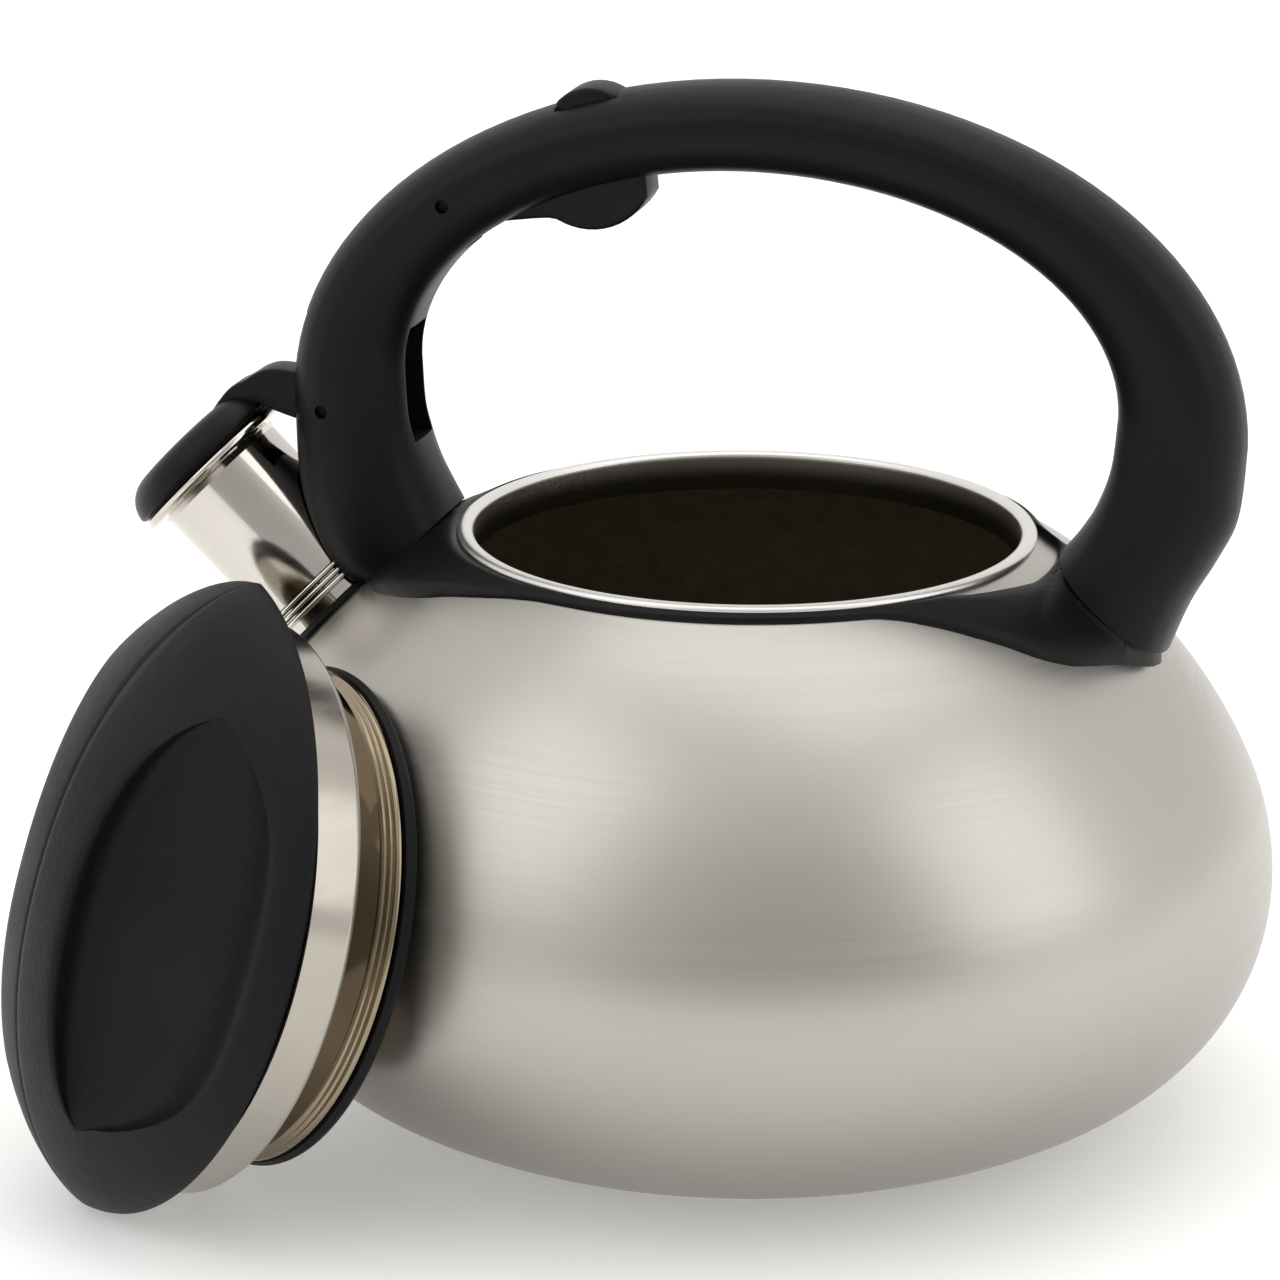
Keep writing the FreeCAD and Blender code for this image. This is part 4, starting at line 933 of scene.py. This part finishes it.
def make_plug():
    """The drawn plug of the lid, with three fine beads over the seal and a dished floor; the beads and the plug
    below them are painted lighter as a painted highlight.
    """
    outer = bend((49.4, -14.0), (49.9, -13.3), -2.0, 2) + [
        (50.3, -12.9), (50.3, -12.4), (50.0, -12.0), (49.45, -11.7), (49.95, -11.35), (50.2, -11.0),
        (49.95, -10.65), (49.45, -10.3), (49.9, -9.95), (50.15, -9.6), (49.9, -9.25), (49.5, -8.9)]
    outer += bend((50.0, -8.2), (45.0, -0.05), 16.0, 14)
    inner = [(45.0, -0.05), (44.2, -0.05), (47.6, -4.0), (49.0, -8.2), (48.6, -13.2), (45.4, -13.2),
             (45.4, -14.6)]
    dish = 117.4
    floor = bend((44.6, -14.8), (0.01, -6.0), dish, 16) + [(0.01, -6.0)]
    floor += bend((0.01, -6.8), (44.6, -15.6), -dish, 16)
    floor += [(44.6, -15.6), (45.6, -15.6), (46.2, -15.0), (46.2, -14.0)]
    plug = lathe("plug_turned", outer + inner + floor, "plug_steel", "lid", LID_PLACE, 180)
    # Painted highlight: faces below beads_from take the lighter bead colour
    plug.data.materials.append(BEAD_HIGHLIGHT.material)
    beads_from = -8.6
    to_lid = LID_PLACE.inverted()
    for face in plug.data.polygons:
        if (to_lid @ (face.center / MM)).z < beads_from:
            face.material_index = 1
    finished(plug, 0.0, 38)
    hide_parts("lid_plug")


make_lid_grip()
make_plug()


# ---------------------------------------------------------------- floor, light and camera

def make_floor():
    """A round pale floor, a hair below the base so that the two don't coincide."""
    radius = 9.0
    sides = 64
    below = -0.0001
    corners = [(radius * math.cos(a), radius * math.sin(a), below)
               for a in (2 * math.pi * k / sides for k in range(sides))]
    mesh = bpy.data.meshes.new("floor")
    mesh.from_pydata(corners, [], [tuple(range(sides))])
    floor = bpy.data.objects.new("floor", mesh)
    bpy.context.collection.objects.link(floor)
    paint = Paint("floor_white", (0.86, 0.86, 0.86), 0.0, 0.6)
    paint.shader.inputs["Emission Color"].default_value = (1, 0.99, 0.975, 1)
    paint.shader.inputs["Emission Strength"].default_value = 0.28
    mesh.materials.append(paint.material)


def soft_box(name, place, target, size, power):
    """A rectangular lamp that faces a target."""
    light = bpy.data.lights.new(name, "AREA")
    light.shape = "RECTANGLE"
    light.size, light.size_y = size
    light.energy = power
    lamp = bpy.data.objects.new(name, light)
    lamp.location = place
    lamp.rotation_mode = "QUATERNION"
    lamp.rotation_quaternion = (Vector(target) - Vector(place)).to_track_quat("-Z", "Y")
    bpy.context.collection.objects.link(lamp)


def make_studio():
    """A white sweep all round, dimmer where the photographer stands, with soft lamps above."""
    world = bpy.data.worlds.new("studio")
    bpy.context.scene.world = world
    world.use_nodes = True
    tree = world.node_tree
    sky = tree.nodes["Background"]
    coords = tree.nodes.new("ShaderNodeTexCoord")
    towards = tree.nodes.new("ShaderNodeVectorMath")
    towards.operation = "DOT_PRODUCT"
    photographer = (0.42, -0.89, 0.17)
    towards.inputs[1].default_value = photographer
    tree.links.new(coords.outputs["Generated"], towards.inputs[0])
    dim = tree.nodes.new("ShaderNodeMapRange")
    dim.interpolation_type = "SMOOTHSTEP"
    for name, value in (("From Min", 0.55), ("From Max", 0.97), ("To Min", 0.95), ("To Max", 0.5)):
        dim.inputs[name].default_value = value
    tree.links.new(towards.outputs["Value"], dim.inputs["Value"])
    sky.inputs["Color"].default_value = (1.0, 0.985, 0.965, 1)
    tree.links.new(dim.outputs["Result"], sky.inputs["Strength"])
    soft_box("key", (-1.4, -1.2, 1.9), (0, 0, 0.08), (1.8, 1.8), 7.5)
    soft_box("fill", (1.9, -0.4, 1.2), (0, 0, 0.08), (1.4, 1.8), 6.3)
    soft_box("top", (0.1, 0.4, 2.0), (0, 0, 0.1), (2.0, 1.6), 7.5)


def make_camera():
    """A long lens in front of the kettle, a little to its right and above it; angles in degrees."""
    camera = bpy.data.cameras.new("camera")
    camera.sensor_width = 36
    camera.lens = 155.0
    camera.clip_start = 0.05
    camera.clip_end = 20
    eye = bpy.data.objects.new("camera", camera)
    azimuth = 14
    distance = 1.1
    height = 0.4376
    aside = 1.154
    downward = 17.093
    roll = 0.195
    spot = Vector((math.sin(math.radians(azimuth)) * distance,
                   -math.cos(math.radians(azimuth)) * distance, height))
    eye.matrix_world = (Matrix.Translation(spot)
                        @ Matrix.Rotation(math.radians(azimuth + aside), 4, "Z")
                        @ Matrix.Rotation(math.radians(90 - downward), 4, "X")
                        @ Matrix.Rotation(math.radians(roll), 4, "Z"))
    bpy.context.collection.objects.link(eye)
    bpy.context.scene.camera = eye


make_floor()
make_studio()
make_camera()
bpy.context.scene.view_settings.view_transform = "Standard"
